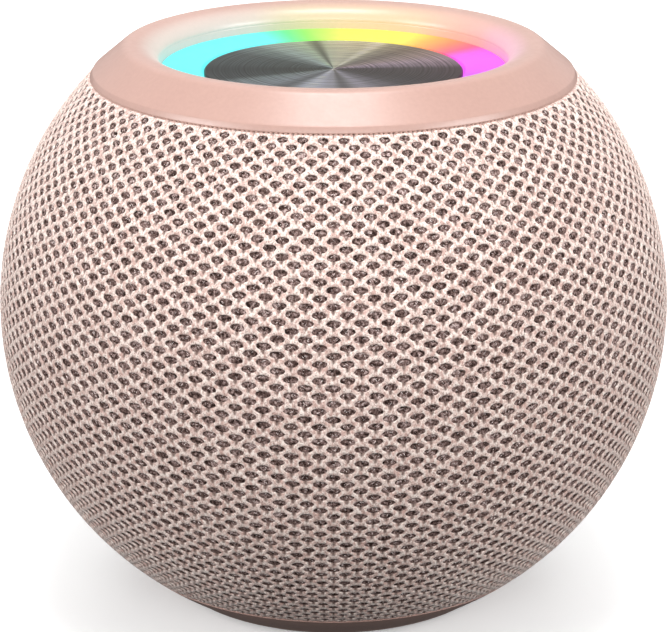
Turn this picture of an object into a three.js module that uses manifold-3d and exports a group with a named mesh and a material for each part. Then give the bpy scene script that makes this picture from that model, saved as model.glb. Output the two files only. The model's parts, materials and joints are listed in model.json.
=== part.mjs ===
// Ball-shaped wireless speaker: a knit-covered sphere on a flat base, with a light dish
// and a spun metal disc in a plastic ring on top.
// Units are millimetres and +Z is up. The origin is the centre of the rubber foot's
// underside. The front is -Y and the control panel is on the +Y side.
// Heights inside the body group are measured from the centre of the ball.
import * as THREE from "three";
import { mergeVertices } from "three/addons/utils/BufferGeometryUtils.js";
import Module from "manifold-3d";

const wasm = await Module();
wasm.setup();

// ---- Driving dimensions ----

const GAP = 0.3; // clearance between neighbouring pieces
const BALL_R = 49; // outside of the knit sleeve
const BASE_FLAT_Z = -42.4; // flat underside of the base
const FOOT_PROUD = 0.6; // how far the foot stands out of the base
const BODY_CENTRE_Z = FOOT_PROUD - BASE_FLAT_Z;

const KNIT_T = 1.2;
const SHELL_OUT_R = BALL_R - KNIT_T - GAP;
const SHELL_T = 1.8;
const SHELL_IN_R = SHELL_OUT_R - SHELL_T;
const TOP_SEAM = 44.5; // latitude in degrees where the knit meets the ring
const BASE_SEAM = -50.3; // latitude where the knit meets the base
const SEAM_GAP = 0.4; // in degrees, about 0.3 mm at the skin
const EQUATOR_GAP = THREE.MathUtils.radToDeg(GAP / 2 / SHELL_IN_R); // half the shells' gap
const SLOT_COUNT = 12;
const SLOT_W = 9;
const SLOT_NEAR_Z = 7; // end of a sound slot near the equator
const SLOT_FAR_Z = 27;

// Top ring
const CROWN_R = 29.3;
const CROWN_Z = 38.9;
const CROWN_ROUND = 1.9; // rounding outside the crown
const SLOPE_ANGLE = 40.9; // outer slope, in degrees below the horizontal
const CREASE_R = 34.2;
const CREASE_Z = 35.27;
const DISH_R = 25.0; // inner wall of the ring
const DISH_LIP_Z = 36.3; // where the inner slope meets the wall
const DISH_SEAT_Z = 33.6;
const SEAT_R = 23.0;
const SEAT_UNDER_Z = 32.2;
const SKIRT_IN_R = 31.0;
const SKIRT_OUT_R = 32.6;
const SKIRT_Z = 30.0;

// Light dish and disc
const DIFFUSER_OUT_R = DISH_R - GAP;
const DIFFUSER_IN_R = 19.0;
const DIFFUSER_RIM_Z = 35.36;
const COLLAR_H = 1.3; // collar of the diffuser round the disc
const COLLAR_T = 1;
const DISC_R = 18.6;
const DISC_TOP_Z = 34.9;
const DISC_T = 1.0;
const DISC_EDGE = 0.15; // chamfer of the disc
const HUB_R = 18;
const LED_BOARD_Z = 29.1;
const LED_BOARD_T = 1.3;
const LED_BOARD_OUT_R = 30.5;
const LED_BOARD_IN_R = 9.0;
const LED_COUNT = 8;
const LED_PITCH_R = 21.3;
const LED_SIZE = 3.0;
const LED_T = 1.2;

// Base and foot
const BASE_FLOOR_T = 2.2;
const BASE_EDGE_R = 24.9;
const BASE_EDGE = 0.5; // chamfer at the bottom edge
const BASE_WALL_R = 46.4;
const LIP_OUT_R = 45.2;
const LIP_IN_R = 43.8;
const LIP_TOP = -46; // latitudes of the lip inside the sleeve
const LIP_FOOT = -51.5;
const FOOT_IN_R = 17.6;
const FOOT_OUT_R = 24.0;
const FOOT_T = 1.5;
const FOOT_BEVEL = 0.3;
const GROOVE_Z = BASE_FLAT_Z + 1.2;
const LABEL_R = 12;
const LABEL_DEPTH = 0.4;
const POST_PITCH_R = 21.2;
const POST_R = 3.4;
const COUNTERBORE_R = 2.4;
const HEAD_R = 2.1;
const HEAD_T = 1.4;
const HEAD_SUNK = 0.2; // how far the head stands inside the groove
const CROSS_R = 1.1;
const CROSS_W = 0.5;
const CROSS_DEPTH = 0.7;
const SHANK_R = 0.95;
const SCREW_HOLE_R = 1.25;
const BOSS_R = 2.5;
const BOSS_H = 4.7;
const BOSS_DEPTH = 4.0;

// Sealed chamber
const CHAMBER_R = 41.5;
const CHAMBER_WALL = 2.0;
const CHAMBER_FLOOR_Z = -33.0;
const CHAMBER_FLOOR_T = 2.2;
const CHAMBER_BACK_Y = 32; // flat outside of the chamber behind the main board
const BAFFLE_Z = 8.0;
const BAFFLE_T = 2.4;
const BAFFLE_R = 43.7;
const DRIVER_HOLE_R = 23.6;

// Deflector over the driver
const DEFLECTOR_TIP_Z = 17.0;
const DEFLECTOR_RIM_R = 34.6;
const DEFLECTOR_RIM_Z = 26.8;
const DEFLECTOR_TOP_Z = 28.8;
const DEFLECTOR_TURN_R = 29; // where the flare meets the flat rim
const DEFLECTOR_T = 2;
const PILLAR_PITCH_R = 31.5;
const PILLAR_R = 2.2;

// Passive radiator
const RADIATOR_R = 10.2;
const RADIATOR_ROLL_R = 1.9;
const RADIATOR_FRAME_IN_R = 14.6;
const RADIATOR_FRAME_OUT_R = 17.4;
const RADIATOR_HOLE_R = 14.7;
const RADIATOR_FRAME_T = 2.1;
const RADIATOR_PLATE_T = 1.5;
const RADIATOR_PLATE_Z = -2;
const RADIATOR_ROLL_Z = -1.2;
const RADIATOR_ROLL_T = 0.5;

// Battery
const BATTERY_X = 46;
const BATTERY_Y = 32;
const BATTERY_Z = 8.5;
const BATTERY_BASE_Z = -26.3;
const BATTERY_CORNER = 1.5;
const TRAY_X = 44;
const TRAY_Y = 30;
const TRAY_T = 1.4;
const LEG_SIZE = 3;
const LEG_X = 14.5;
const LEG_Y = 13;

// Control panel
const PANEL_W = 42;
const PANEL_H = 25;
const PANEL_CORNER = 9;
const PANEL_Z = -8;
const PANEL_OUT_R = 48.5;
const PANEL_IN_R = 45.6;
const BUTTON_PITCH = 7.6;
const BUTTON_Z = -2;
const BUTTON_R = 2.9;
const BUTTON_HOLE_R = 3.2;
const BUTTON_FLANGE_R = 3.6;
const BUTTON_FLANGE_T = 0.8;
const BUTTON_TOP_R = 49.0;
const BUTTON_TRAVEL = 0.6;
const STEM_R = 1.2;
const USB_Z = -14.5;
const USB_W = 8.94;
const USB_H = 3.16;
const USB_WALL = 0.3;
const USB_MOUTH_Y = 45.8;
const USB_BACK_T = 0.6;
const USB_BLOCK_W = 6.8; // block at the root of the tongue
const USB_BLOCK_H = 1.8;
const USB_BLOCK_T = 1.4;
const USB_TONGUE_W = 6.6;
const USB_TONGUE_H = 0.7;
const USB_TONGUE_SUNK = 0.9;
const PIPE_R = 0.8;
const PIPE_Z = -8.3;
const USB_SLOT = 0.35; // room round the shell in the panel
const PIPE_PROUD = 0.1;
const MIC_X = 9;
const MIC_HOLE_R = 0.6;

// Main board
const BOARD_Y = 35;
const BOARD_T = 1.6;
const BOARD_W = 36;
const BOARD_LOW_Z = -18;
const BOARD_TOP_Z = 7;
const BOARD_FACE_Y = BOARD_Y + BOARD_T;
const SWITCH_SIZE = 5.2;
const SWITCH_T = 1.6;
const PLUNGER_R = 1.5;
const PLUNGER_T = 0.7;

// Driver, with heights from the top of the baffle
const RIM_R = 26;
const RIM_LOW_Z = 1.2;
const RIM_TOP_Z = 2.6;
const NECK_R = 23.2; // basket where it passes through the baffle
const NECK_Z = -3;
const WAIST_R = 15.6; // basket round the top plate
const WAIST_Z = -11;
const BASKET_LOW_Z = -14.7;
const BASKET_HOLE_R = 8;
const BASKET_T = 0.9;
const OPENING_W = 9; // openings in the slanted wall
const COIL_IN_R = 6.35;
const COIL_OUT_R = 6.8;
const COIL_LOW_Z = -19.5;
const COIL_TOP_Z = -7;
const POLE_R = 6;
const PLATE_R = 15;
const PLATE_TOP_Z = -15;
const PLATE_T = 2.6;
const MAGNET_IN_R = 8.6;
const MAGNET_OUT_R = 16;
const YOKE_Z = -25.5;
const YOKE_T = 2.2;
const CONE_R = 18.9;
const CONE_LOW_Z = -7.6;
const CONE_RIM_Z = 0.7;
const CONE_T = 0.6;
const CAP_SPHERE_R = 14.5; // dust cap
const CAP_HALF_ANGLE = 34.5;
const CAP_Z = -5.7;
const CAP_T = 0.5;
const SPIDER_OUT_R = 14.3;
const SPIDER_LOW_Z = -12.3;
const SPIDER_WAVE = 0.7;
const SPIDER_T = 0.4;
const SURROUND_OUT_R = 22;
const SURROUND_Z = 1.5;
const SURROUND_T = 0.4;

// Facets round a full turn
const SKIN_SEGMENTS = 40;
const SKIN_STEPS = 4; // from the equator to a seam
const BALL_SEGMENTS = 56;
const INNER_SEGMENTS = 28;
const DRIVER_SEGMENTS = 20;
const BUTTON_SEGMENTS = 20;
const SMALL_SEGMENTS = 12;
const CORNER_STEPS = 6;
const SMALL_CORNER_STEPS = 4;

// Cutting tools reach from inside the skin to well outside the ball.
const CUT_NEAR = 30;
const CUT_FAR = 60;

// ---- Solids ----

const rad = THREE.MathUtils.degToRad;

function toSolid(geometry) {
  geometry.deleteAttribute("normal");
  geometry.deleteAttribute("uv");
  const merged = mergeVertices(geometry, 1e-4);
  const index = merged.index.array;
  const triangles = [];
  for (let i = 0; i < index.length; i += 3) {
    const [a, b, c] = [index[i], index[i + 1], index[i + 2]];
    if (a !== b && b !== c && c !== a) triangles.push(a, b, c);
  }
  const mesh = new wasm.Mesh({
    numProp: 3,
    vertProperties: new Float32Array(merged.attributes.position.array),
    triVerts: new Uint32Array(triangles),
  });
  return new wasm.Manifold(mesh);
}

function toGeometry(solid) {
  const mesh = solid.getMesh();
  const geometry = new THREE.BufferGeometry();
  geometry.setAttribute("position", new THREE.BufferAttribute(mesh.vertProperties, 3));
  geometry.setIndex(new THREE.BufferAttribute(mesh.triVerts, 1));
  geometry.computeVertexNormals();
  return geometry;
}

function join(solids) {
  return solids.reduce((whole, piece) => whole.add(piece));
}

function cut(solid, tools) {
  return tools.reduce((rest, tool) => rest.subtract(tool), solid);
}

// Points [r, z] turned round the Z axis. The outline closes on itself or ends on the axis.
function turned(outline, segments) {
  const loop = outline.map(([r, z]) => new THREE.Vector2(r, z));
  if (THREE.ShapeUtils.area(loop) < 0) loop.reverse();
  const onAxis = (point) => Math.abs(point.x) < 1e-9;
  if (loop.some(onAxis)) {
    while (!(onAxis(loop[0]) && onAxis(loop[loop.length - 1]))) loop.push(loop.shift());
  } else {
    loop.push(loop[0].clone());
  }
  return toSolid(new THREE.LatheGeometry(loop, segments).rotateX(Math.PI / 2));
}

// Points along a circle in the [r, z] half plane, from one angle to another in degrees.
function arc(centreR, centreZ, radius, from, to, steps) {
  return Array.from({ length: steps + 1 }, (_, i) => {
    const angle = rad(from + ((to - from) * i) / steps);
    return [centreR + radius * Math.cos(angle), centreZ + radius * Math.sin(angle)];
  });
}

// Points along a parallel sphere about the centre of the ball.
function ballArc(radius, from, to, steps) {
  return arc(0, 0, radius, from, to, steps);
}

function tubeBetween(inR, outR, low, high, segments) {
  return turned([[inR, low], [outR, low], [outR, high], [inR, high]], segments);
}

function rod(radius, low, high, segments) {
  return turned([[0, low], [radius, low], [radius, high], [0, high]], segments);
}

function slab(x0, x1, y0, y1, z0, z1) {
  const geometry = new THREE.BoxGeometry(x1 - x0, y1 - y0, z1 - z0);
  return toSolid(geometry.translate((x0 + x1) / 2, (y0 + y1) / 2, (z0 + z1) / 2));
}

function ball(radius, segments) {
  return toSolid(new THREE.SphereGeometry(radius, segments, segments / 2).rotateX(Math.PI / 2));
}

function roundedRectangle(width, height, corner) {
  const shape = new THREE.Shape();
  const x = width / 2 - corner;
  const y = height / 2 - corner;
  shape.absarc(x, y, corner, 0, Math.PI / 2);
  shape.absarc(-x, y, corner, Math.PI / 2, Math.PI);
  shape.absarc(-x, -y, corner, Math.PI, Math.PI * 1.5);
  shape.absarc(x, -y, corner, Math.PI * 1.5, Math.PI * 2);
  return shape;
}

// A shape drawn in X and Z, made solid between two values of Y.
function alongY(shape, fromY, toY, centreX, centreZ, curveSegments = CORNER_STEPS) {
  const depth = toY - fromY;
  const geometry = new THREE.ExtrudeGeometry(shape, { depth, bevelEnabled: false, curveSegments });
  return toSolid(geometry.rotateX(Math.PI / 2).translate(centreX, toY, centreZ));
}

function rodAlongY(radius, fromY, toY, x, z, segments = SMALL_SEGMENTS) {
  const geometry = new THREE.CylinderGeometry(radius, radius, toY - fromY, segments);
  return toSolid(geometry.translate(x, (fromY + toY) / 2, z));
}

// Copies of a solid at equal angles round the Z axis.
function spread(solid, count, firstDegrees = 0) {
  const step = 360 / count;
  return Array.from({ length: count }, (_, i) => solid.rotate([0, 0, firstDegrees + i * step]));
}

// A rectangular block centred on x and z, between two values of Y.
function blockAlongY(width, height, fromY, toY, x, z) {
  return slab(x - width / 2, x + width / 2, fromY, toY, z - height / 2, z + height / 2);
}

// Height of a ball surface above the X-Z plane.
function ballY(radius, x, z) {
  return Math.sqrt(radius * radius - x * x - z * z);
}

// Latitude in degrees of a height on a ball surface.
function latitude(radius, z) {
  return THREE.MathUtils.radToDeg(Math.asin(z / radius));
}

// ---- Finishes ----

const FINISH = {
  pinkPlastic: [0xe8bba9, 0.38, 0.0],
  pinkRubber: [0xdcae9f, 0.6, 0.0],
  knit: [0xe9d3ca, 0.95, 0.0],
  darkRubber: [0x2c2725, 0.8, 0.0],
  blackPlastic: [0x1d1d20, 0.55, 0.0],
  greyPlastic: [0x55524f, 0.6, 0.0],
  lightGuide: [0xf2f4ff, 0.3, 0.0],
  spunAluminium: [0xb4b5b6, 0.28, 1.0],
  steel: [0xa9abad, 0.35, 1.0],
  nickel: [0xc3c2bd, 0.25, 1.0],
  ferrite: [0x2a2a2c, 0.6, 0.2],
  zincPlate: [0xb9bcbf, 0.4, 1.0],
  paper: [0x232325, 0.85, 0.0],
  softRubber: [0x18181a, 0.7, 0.0],
  copper: [0xb8703a, 0.35, 1.0],
  resinCloth: [0xc9a046, 0.9, 0.0],
  circuitBoard: [0x124a2e, 0.5, 0.0],
  blackBoard: [0x15181c, 0.5, 0.0],
  batteryWrap: [0x2f5fa8, 0.4, 0.0],
  whitePlastic: [0xf0efe9, 0.5, 0.0],
};

function piece(name, solid, finish, position = [0, 0, 0]) {
  const [color, roughness, metalness] = finish;
  const material = new THREE.MeshStandardMaterial({ color, roughness, metalness });
  const mesh = new THREE.Mesh(toGeometry(solid), material);
  mesh.name = name;
  mesh.position.set(...position);
  return mesh;
}

function assembly(pieces, height = 0) {
  const group = new THREE.Group();
  group.add(...pieces);
  group.position.z = height;
  return group;
}

// ---- Outer skin ----

function panelOutline(margin) {
  return roundedRectangle(PANEL_W + 2 * margin, PANEL_H + 2 * margin, PANEL_CORNER + margin);
}

function panelWindow() {
  return alongY(panelOutline(GAP), CUT_NEAR, CUT_FAR, 0, PANEL_Z);
}

function knitSleeve() {
  const low = BASE_SEAM + SEAM_GAP;
  const high = TOP_SEAM - SEAM_GAP;
  const skin = (radius, from, to) => [
    ...ballArc(radius, from, 0, SKIN_STEPS),
    ...ballArc(radius, 0, to, SKIN_STEPS).slice(1),
  ];
  const outside = skin(BALL_R, low, high);
  const inside = skin(BALL_R - KNIT_T, high, low);
  return cut(turned([...outside, ...inside], SKIN_SEGMENTS), [panelWindow()]);
}

// A shell between two latitudes, open at the back for the panel and pierced by slots.
function slottedShell(low, high, slots) {
  const outside = ballArc(SHELL_OUT_R, low, high, SKIN_STEPS);
  const inside = ballArc(SHELL_IN_R, high, low, SKIN_STEPS);
  return cut(turned([...outside, ...inside], SKIN_SEGMENTS), [panelWindow(), ...slots]);
}

// Sound slots between two heights, at equal angles round the shell.
function shellSlots(low, high) {
  const slot = slab(CUT_NEAR, CUT_FAR, -SLOT_W / 2, SLOT_W / 2, low, high);
  return spread(slot, SLOT_COUNT, 180 / SLOT_COUNT);
}

function upperShell() {
  return slottedShell(EQUATOR_GAP, TOP_SEAM - SEAM_GAP, shellSlots(SLOT_NEAR_Z, SLOT_FAR_Z));
}

// The slots behind the control panel are left out.
function lowerShell() {
  const slots = shellSlots(-SLOT_FAR_Z, -SLOT_NEAR_Z).filter((_, i) => i < 1 || i > 4);
  return slottedShell(BASE_SEAM + SEAM_GAP, -EQUATOR_GAP, slots);
}

function topRing() {
  const crownTurn = 90 - SLOPE_ANGLE;
  const outerCrown = arc(CROWN_R, CROWN_Z - CROWN_ROUND, CROWN_ROUND, crownTurn, 90, 3);
  const reach = CROWN_R - DISH_R;
  const drop = CROWN_Z - DISH_LIP_Z;
  const innerSlope = [18, 36, 54, 72, 90].map((turn) => {
    return [CROWN_R - reach * Math.sin(rad(turn)), DISH_LIP_Z + drop * Math.cos(rad(turn))];
  });
  const [seam] = ballArc(BALL_R, TOP_SEAM, TOP_SEAM, 1);
  const underSeamZ = SKIRT_OUT_R * Math.tan(rad(TOP_SEAM));
  return turned([
    seam,
    [CREASE_R, CREASE_Z],
    ...outerCrown,
    ...innerSlope,
    [DISH_R, DISH_SEAT_Z],
    [SEAT_R, DISH_SEAT_Z],
    [SEAT_R, SEAT_UNDER_Z],
    [SKIRT_IN_R, SEAT_UNDER_Z],
    [SKIRT_IN_R, SKIRT_Z],
    [SKIRT_OUT_R, SKIRT_Z],
    [SKIRT_OUT_R, underSeamZ],
  ], SKIN_SEGMENTS);
}

// ---- Base ----

function baseCover() {
  const edgeLatitude = latitude(BALL_R, BASE_FLAT_Z + BASE_EDGE);
  const floorZ = BASE_FLAT_Z + BASE_FLOOR_T;
  const wallLatitude = latitude(BASE_WALL_R, floorZ);
  const bowl = turned([
    [0, BASE_FLAT_Z],
    [BASE_EDGE_R, BASE_FLAT_Z],
    ...ballArc(BALL_R, edgeLatitude, BASE_SEAM, 4),
    ...ballArc(LIP_OUT_R, BASE_SEAM, LIP_TOP, 1),
    ...ballArc(LIP_IN_R, LIP_TOP, LIP_FOOT, 1),
    ...ballArc(BASE_WALL_R, LIP_FOOT - 1, wallLatitude, 2),
    [0, floorZ],
  ], SKIN_SEGMENTS);
  const postTop = CHAMBER_FLOOR_Z - GAP;
  const post = rod(POST_R, GROOVE_Z, postTop, SMALL_SEGMENTS).translate([POST_PITCH_R, 0, 0]);
  const bore = rod(SCREW_HOLE_R, BASE_FLAT_Z - 1, postTop + 1, SMALL_SEGMENTS);
  const counterbore = rod(COUNTERBORE_R, BASE_FLAT_Z - 1, headTopZ() + GAP, SMALL_SEGMENTS);
  const screwHole = join([bore, counterbore]).translate([POST_PITCH_R, 0, 0]);
  const grooveIn = FOOT_IN_R - GAP;
  const grooveOut = FOOT_OUT_R + GAP;
  const groove = tubeBetween(grooveIn, grooveOut, BASE_FLAT_Z - 1, GROOVE_Z, SKIN_SEGMENTS);
  const label = rod(LABEL_R, BASE_FLAT_Z - 1, BASE_FLAT_Z + LABEL_DEPTH, INNER_SEGMENTS);
  return cut(join([bowl, ...spread(post, 4)]), [groove, label, ...spread(screwHole, 4)]);
}

function headTopZ() {
  return GROOVE_Z + HEAD_SUNK + HEAD_T;
}

// A flat-headed cross-slot screw standing on its head, with its tip up.
function baseScrew() {
  const tip = CHAMBER_FLOOR_Z + BOSS_DEPTH - GAP - headTopZ();
  const body = turned([
    [0, -HEAD_T],
    [HEAD_R, -HEAD_T],
    [HEAD_R, 0],
    [SHANK_R, 0],
    [SHANK_R, tip - SHANK_R],
    [0, tip],
  ], SMALL_SEGMENTS);
  const [half, depth] = [CROSS_W / 2, CROSS_DEPTH - HEAD_T];
  const recess = slab(-CROSS_R, CROSS_R, -half, half, -HEAD_T - 1, depth);
  return cut(body, [recess, recess.rotate([0, 0, 90])]);
}

function rubberFoot() {
  const low = BASE_FLAT_Z - FOOT_PROUD;
  const high = low + FOOT_T;
  return turned([
    [FOOT_IN_R + FOOT_BEVEL, low],
    [FOOT_OUT_R - FOOT_BEVEL, low],
    [FOOT_OUT_R, low + FOOT_BEVEL],
    [FOOT_OUT_R, high],
    [FOOT_IN_R, high],
    [FOOT_IN_R, low + FOOT_BEVEL],
  ], SKIN_SEGMENTS);
}

function baseAssembly() {
  const pieces = [
    piece("base_cover", baseCover(), FINISH.pinkPlastic),
    piece("rubber_foot", rubberFoot(), FINISH.darkRubber),
  ];
  for (let i = 0; i < 4; i += 1) {
    const angle = (i * Math.PI) / 2;
    const place = [POST_PITCH_R * Math.cos(angle), POST_PITCH_R * Math.sin(angle), headTopZ()];
    pieces.push(piece(`base_screw_${i + 1}`, baseScrew(), FINISH.steel, place));
  }
  return assembly(pieces);
}

// ---- Light dish ----

function lightDiffuser() {
  const under = DISC_TOP_Z - DISC_T;
  return turned([
    [DIFFUSER_IN_R, under - COLLAR_H],
    [DIFFUSER_IN_R + COLLAR_T, under - COLLAR_H],
    [DIFFUSER_IN_R + COLLAR_T, under],
    [DIFFUSER_OUT_R, under],
    [DIFFUSER_OUT_R, DIFFUSER_RIM_Z],
    [DIFFUSER_IN_R, DISC_TOP_Z],
  ], SKIN_SEGMENTS);
}

function topDisc() {
  const under = DISC_TOP_Z - DISC_T;
  return turned([
    [0, under],
    [DISC_R, under],
    [DISC_R, DISC_TOP_Z - DISC_EDGE],
    [DISC_R - DISC_EDGE, DISC_TOP_Z],
    [0, DISC_TOP_Z],
  ], SKIN_SEGMENTS);
}

function lightAssembly() {
  const boardTop = LED_BOARD_Z + LED_BOARD_T;
  const board = tubeBetween(LED_BOARD_IN_R, LED_BOARD_OUT_R, LED_BOARD_Z, boardTop, INNER_SEGMENTS);
  const hub = rod(HUB_R, boardTop + GAP, DISC_TOP_Z - DISC_T - GAP, INNER_SEGMENTS);
  const pieces = [
    piece("top_ring", topRing(), FINISH.pinkPlastic),
    piece("light_diffuser", lightDiffuser(), FINISH.lightGuide),
    piece("top_disc", topDisc(), FINISH.spunAluminium),
    piece("disc_hub", hub, FINISH.blackPlastic),
    piece("led_board", board, FINISH.blackBoard),
  ];
  const half = LED_SIZE / 2;
  for (let i = 0; i < LED_COUNT; i += 1) {
    const led = slab(-half, half, -half, half, 0, LED_T);
    const mesh = piece(`rgb_led_${i + 1}`, led, FINISH.whitePlastic);
    const angle = (i * 2 * Math.PI) / LED_COUNT;
    const [x, y] = [LED_PITCH_R * Math.cos(angle), LED_PITCH_R * Math.sin(angle)];
    mesh.position.set(x, y, boardTop + GAP);
    mesh.rotation.z = angle;
    pieces.push(mesh);
  }
  return assembly(pieces);
}

// ---- Sealed chamber ----

function acousticChamber() {
  const topZ = BAFFLE_Z - GAP;
  const innerR = CHAMBER_R - CHAMBER_WALL;
  const floorTop = CHAMBER_FLOOR_Z + CHAMBER_FLOOR_T;
  const outside = turned([
    [0, CHAMBER_FLOOR_Z],
    ...ballArc(CHAMBER_R, latitude(CHAMBER_R, CHAMBER_FLOOR_Z), latitude(CHAMBER_R, topZ), 5),
    [0, topZ],
  ], INNER_SEGMENTS);
  const inside = turned([
    [0, floorTop],
    ...ballArc(innerR, latitude(innerR, floorTop), latitude(innerR, topZ), 5),
    [0, topZ + 0.01],
  ], INNER_SEGMENTS);
  const behind = (y) => slab(-CUT_FAR, CUT_FAR, y, CUT_FAR, -CUT_FAR, CUT_FAR);
  const cavity = cut(inside, [behind(CHAMBER_BACK_Y - CHAMBER_WALL)]);
  const boss = rod(BOSS_R, CHAMBER_FLOOR_Z, CHAMBER_FLOOR_Z + BOSS_H, SMALL_SEGMENTS);
  const holeTop = CHAMBER_FLOOR_Z + BOSS_DEPTH;
  const hole = rod(SCREW_HOLE_R, CHAMBER_FLOOR_Z - 1, holeTop, SMALL_SEGMENTS);
  const radiatorHole = rod(RADIATOR_HOLE_R, -CUT_FAR, floorTop + 1, INNER_SEGMENTS);
  const tub = cut(cut(outside, [behind(CHAMBER_BACK_Y)]), [cavity, radiatorHole]);
  const bosses = spread(boss.translate([POST_PITCH_R, 0, 0]), 4);
  return cut(join([tub, ...bosses]), spread(hole.translate([POST_PITCH_R, 0, 0]), 4));
}

function soundDeflector() {
  const flare = [[0, 0], [3, 1.2], [8, 3.6], [15, 6.4], [23, 8.6]];
  const below = flare.map(([r, z]) => [r, DEFLECTOR_TIP_Z + z]);
  const above = flare.map(([r, z]) => [r, DEFLECTOR_TIP_Z + z + DEFLECTOR_T]).reverse();
  const cone = turned([
    ...below,
    [DEFLECTOR_TURN_R + DEFLECTOR_T, DEFLECTOR_RIM_Z],
    [DEFLECTOR_RIM_R, DEFLECTOR_RIM_Z],
    [DEFLECTOR_RIM_R, DEFLECTOR_TOP_Z],
    [DEFLECTOR_TURN_R, DEFLECTOR_TOP_Z],
    ...above,
  ], INNER_SEGMENTS);
  const pillarLow = BAFFLE_Z + BAFFLE_T + GAP;
  const pillar = rod(PILLAR_R, pillarLow, DEFLECTOR_RIM_Z + 1, SMALL_SEGMENTS);
  return join([cone, ...spread(pillar.translate([PILLAR_PITCH_R, 0, 0]), 4, 45)]);
}

function batteryTray() {
  const top = BATTERY_BASE_Z - GAP;
  const [x, y, half] = [TRAY_X / 2, TRAY_Y / 2, LEG_SIZE / 2];
  const plate = slab(-x, x, -y, y, top - TRAY_T, top);
  const legLow = CHAMBER_FLOOR_Z + CHAMBER_FLOOR_T + GAP;
  const leg = slab(-half, half, -half, half, legLow, top - TRAY_T / 2);
  const legs = [[1, 1], [-1, 1], [-1, -1], [1, -1]].map(([sideX, sideY]) => {
    return leg.translate([sideX * LEG_X, sideY * LEG_Y, 0]);
  });
  return join([plate, ...legs]);
}

function chamberAssembly() {
  const cell = roundedRectangle(BATTERY_X, BATTERY_Z, BATTERY_CORNER);
  const cellZ = BATTERY_BASE_Z + BATTERY_Z / 2;
  const battery = alongY(cell, -BATTERY_Y / 2, BATTERY_Y / 2, 0, cellZ, SMALL_CORNER_STEPS);
  const baffleTop = BAFFLE_Z + BAFFLE_T;
  const baffle = tubeBetween(DRIVER_HOLE_R, BAFFLE_R, BAFFLE_Z, baffleTop, INNER_SEGMENTS);
  return assembly([
    piece("acoustic_chamber", acousticChamber(), FINISH.greyPlastic),
    piece("driver_baffle", baffle, FINISH.greyPlastic),
    piece("sound_deflector", soundDeflector(), FINISH.blackPlastic),
    piece("battery_tray", batteryTray(), FINISH.blackPlastic),
    piece("battery", battery, FINISH.batteryWrap),
  ]);
}

// ---- Driver, measured from the top of the baffle ----

// A half roll between two radii, bulging up or down.
function halfRoll(inR, outR, z, thickness, side) {
  const middle = (inR + outR) / 2;
  const radius = (outR - inR) / 2;
  const outer = arc(middle, z, radius, 0, 180 * side, 5);
  const inner = arc(middle, z, radius - thickness, 180 * side, 0, 4);
  return turned([...outer, ...inner], DRIVER_SEGMENTS);
}

function driverTube(inR, outR, low, high) {
  return tubeBetween(inR, outR, low, high, DRIVER_SEGMENTS);
}

// A thin turned part: its underside, and the same line raised by its thickness.
function turnedSheet(under, thickness) {
  const above = under.map(([r, z]) => [r, z + thickness]).reverse();
  return turned([...under, ...above], DRIVER_SEGMENTS);
}

function driverBasket() {
  const slantRise = 0.4; // inside of the slanted wall above its outside
  const frame = turned([
    [RIM_R, RIM_TOP_Z],
    [RIM_R, RIM_LOW_Z],
    [NECK_R, RIM_LOW_Z],
    [NECK_R, NECK_Z],
    [WAIST_R, WAIST_Z],
    [WAIST_R, BASKET_LOW_Z],
    [BASKET_HOLE_R, BASKET_LOW_Z],
    [BASKET_HOLE_R, BASKET_LOW_Z + BASKET_T],
    [WAIST_R - BASKET_T, BASKET_LOW_Z + BASKET_T],
    [WAIST_R - BASKET_T, WAIST_Z + slantRise],
    [NECK_R - BASKET_T, NECK_Z + slantRise],
    [NECK_R - BASKET_T, RIM_TOP_Z],
  ], DRIVER_SEGMENTS);
  const half = OPENING_W / 2;
  const opening = slab(BASKET_HOLE_R, CUT_NEAR, -half, half, WAIST_Z + 1, NECK_Z - slantRise);
  return cut(frame, spread(opening, 4, 45));
}

function driverYoke() {
  return turned([
    [0, YOKE_Z],
    [PLATE_R, YOKE_Z],
    [PLATE_R, YOKE_Z + YOKE_T],
    [POLE_R, YOKE_Z + YOKE_T],
    [POLE_R, PLATE_TOP_Z],
    [0, PLATE_TOP_Z],
  ], DRIVER_SEGMENTS);
}

// A gently flared cone from the voice coil out to the surround.
function driverCone() {
  const inR = COIL_OUT_R + GAP;
  const under = [0, 0.25, 0.6, 1].map((t) => {
    const rise = (CONE_RIM_Z - CONE_LOW_Z) * Math.pow(t, 1.15);
    return [inR + (CONE_R - inR) * t, CONE_LOW_Z + rise];
  });
  return turnedSheet(under, CONE_T);
}

function dustCap() {
  const centreZ = CAP_Z - CAP_SPHERE_R * Math.cos(rad(CAP_HALF_ANGLE));
  const rim = 90 - CAP_HALF_ANGLE;
  const outer = arc(0, centreZ, CAP_SPHERE_R, rim, 90, 4);
  const inner = arc(0, centreZ, CAP_SPHERE_R - CAP_T, 90, rim, 3);
  return turned([...outer, ...inner], DRIVER_SEGMENTS);
}

function spider() {
  const inR = COIL_OUT_R + GAP;
  const folds = 6;
  const under = Array.from({ length: folds + 1 }, (_, i) => {
    return [inR + ((SPIDER_OUT_R - inR) * i) / folds, SPIDER_LOW_Z + (i % 2) * SPIDER_WAVE];
  });
  return turnedSheet(under, SPIDER_T);
}

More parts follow.
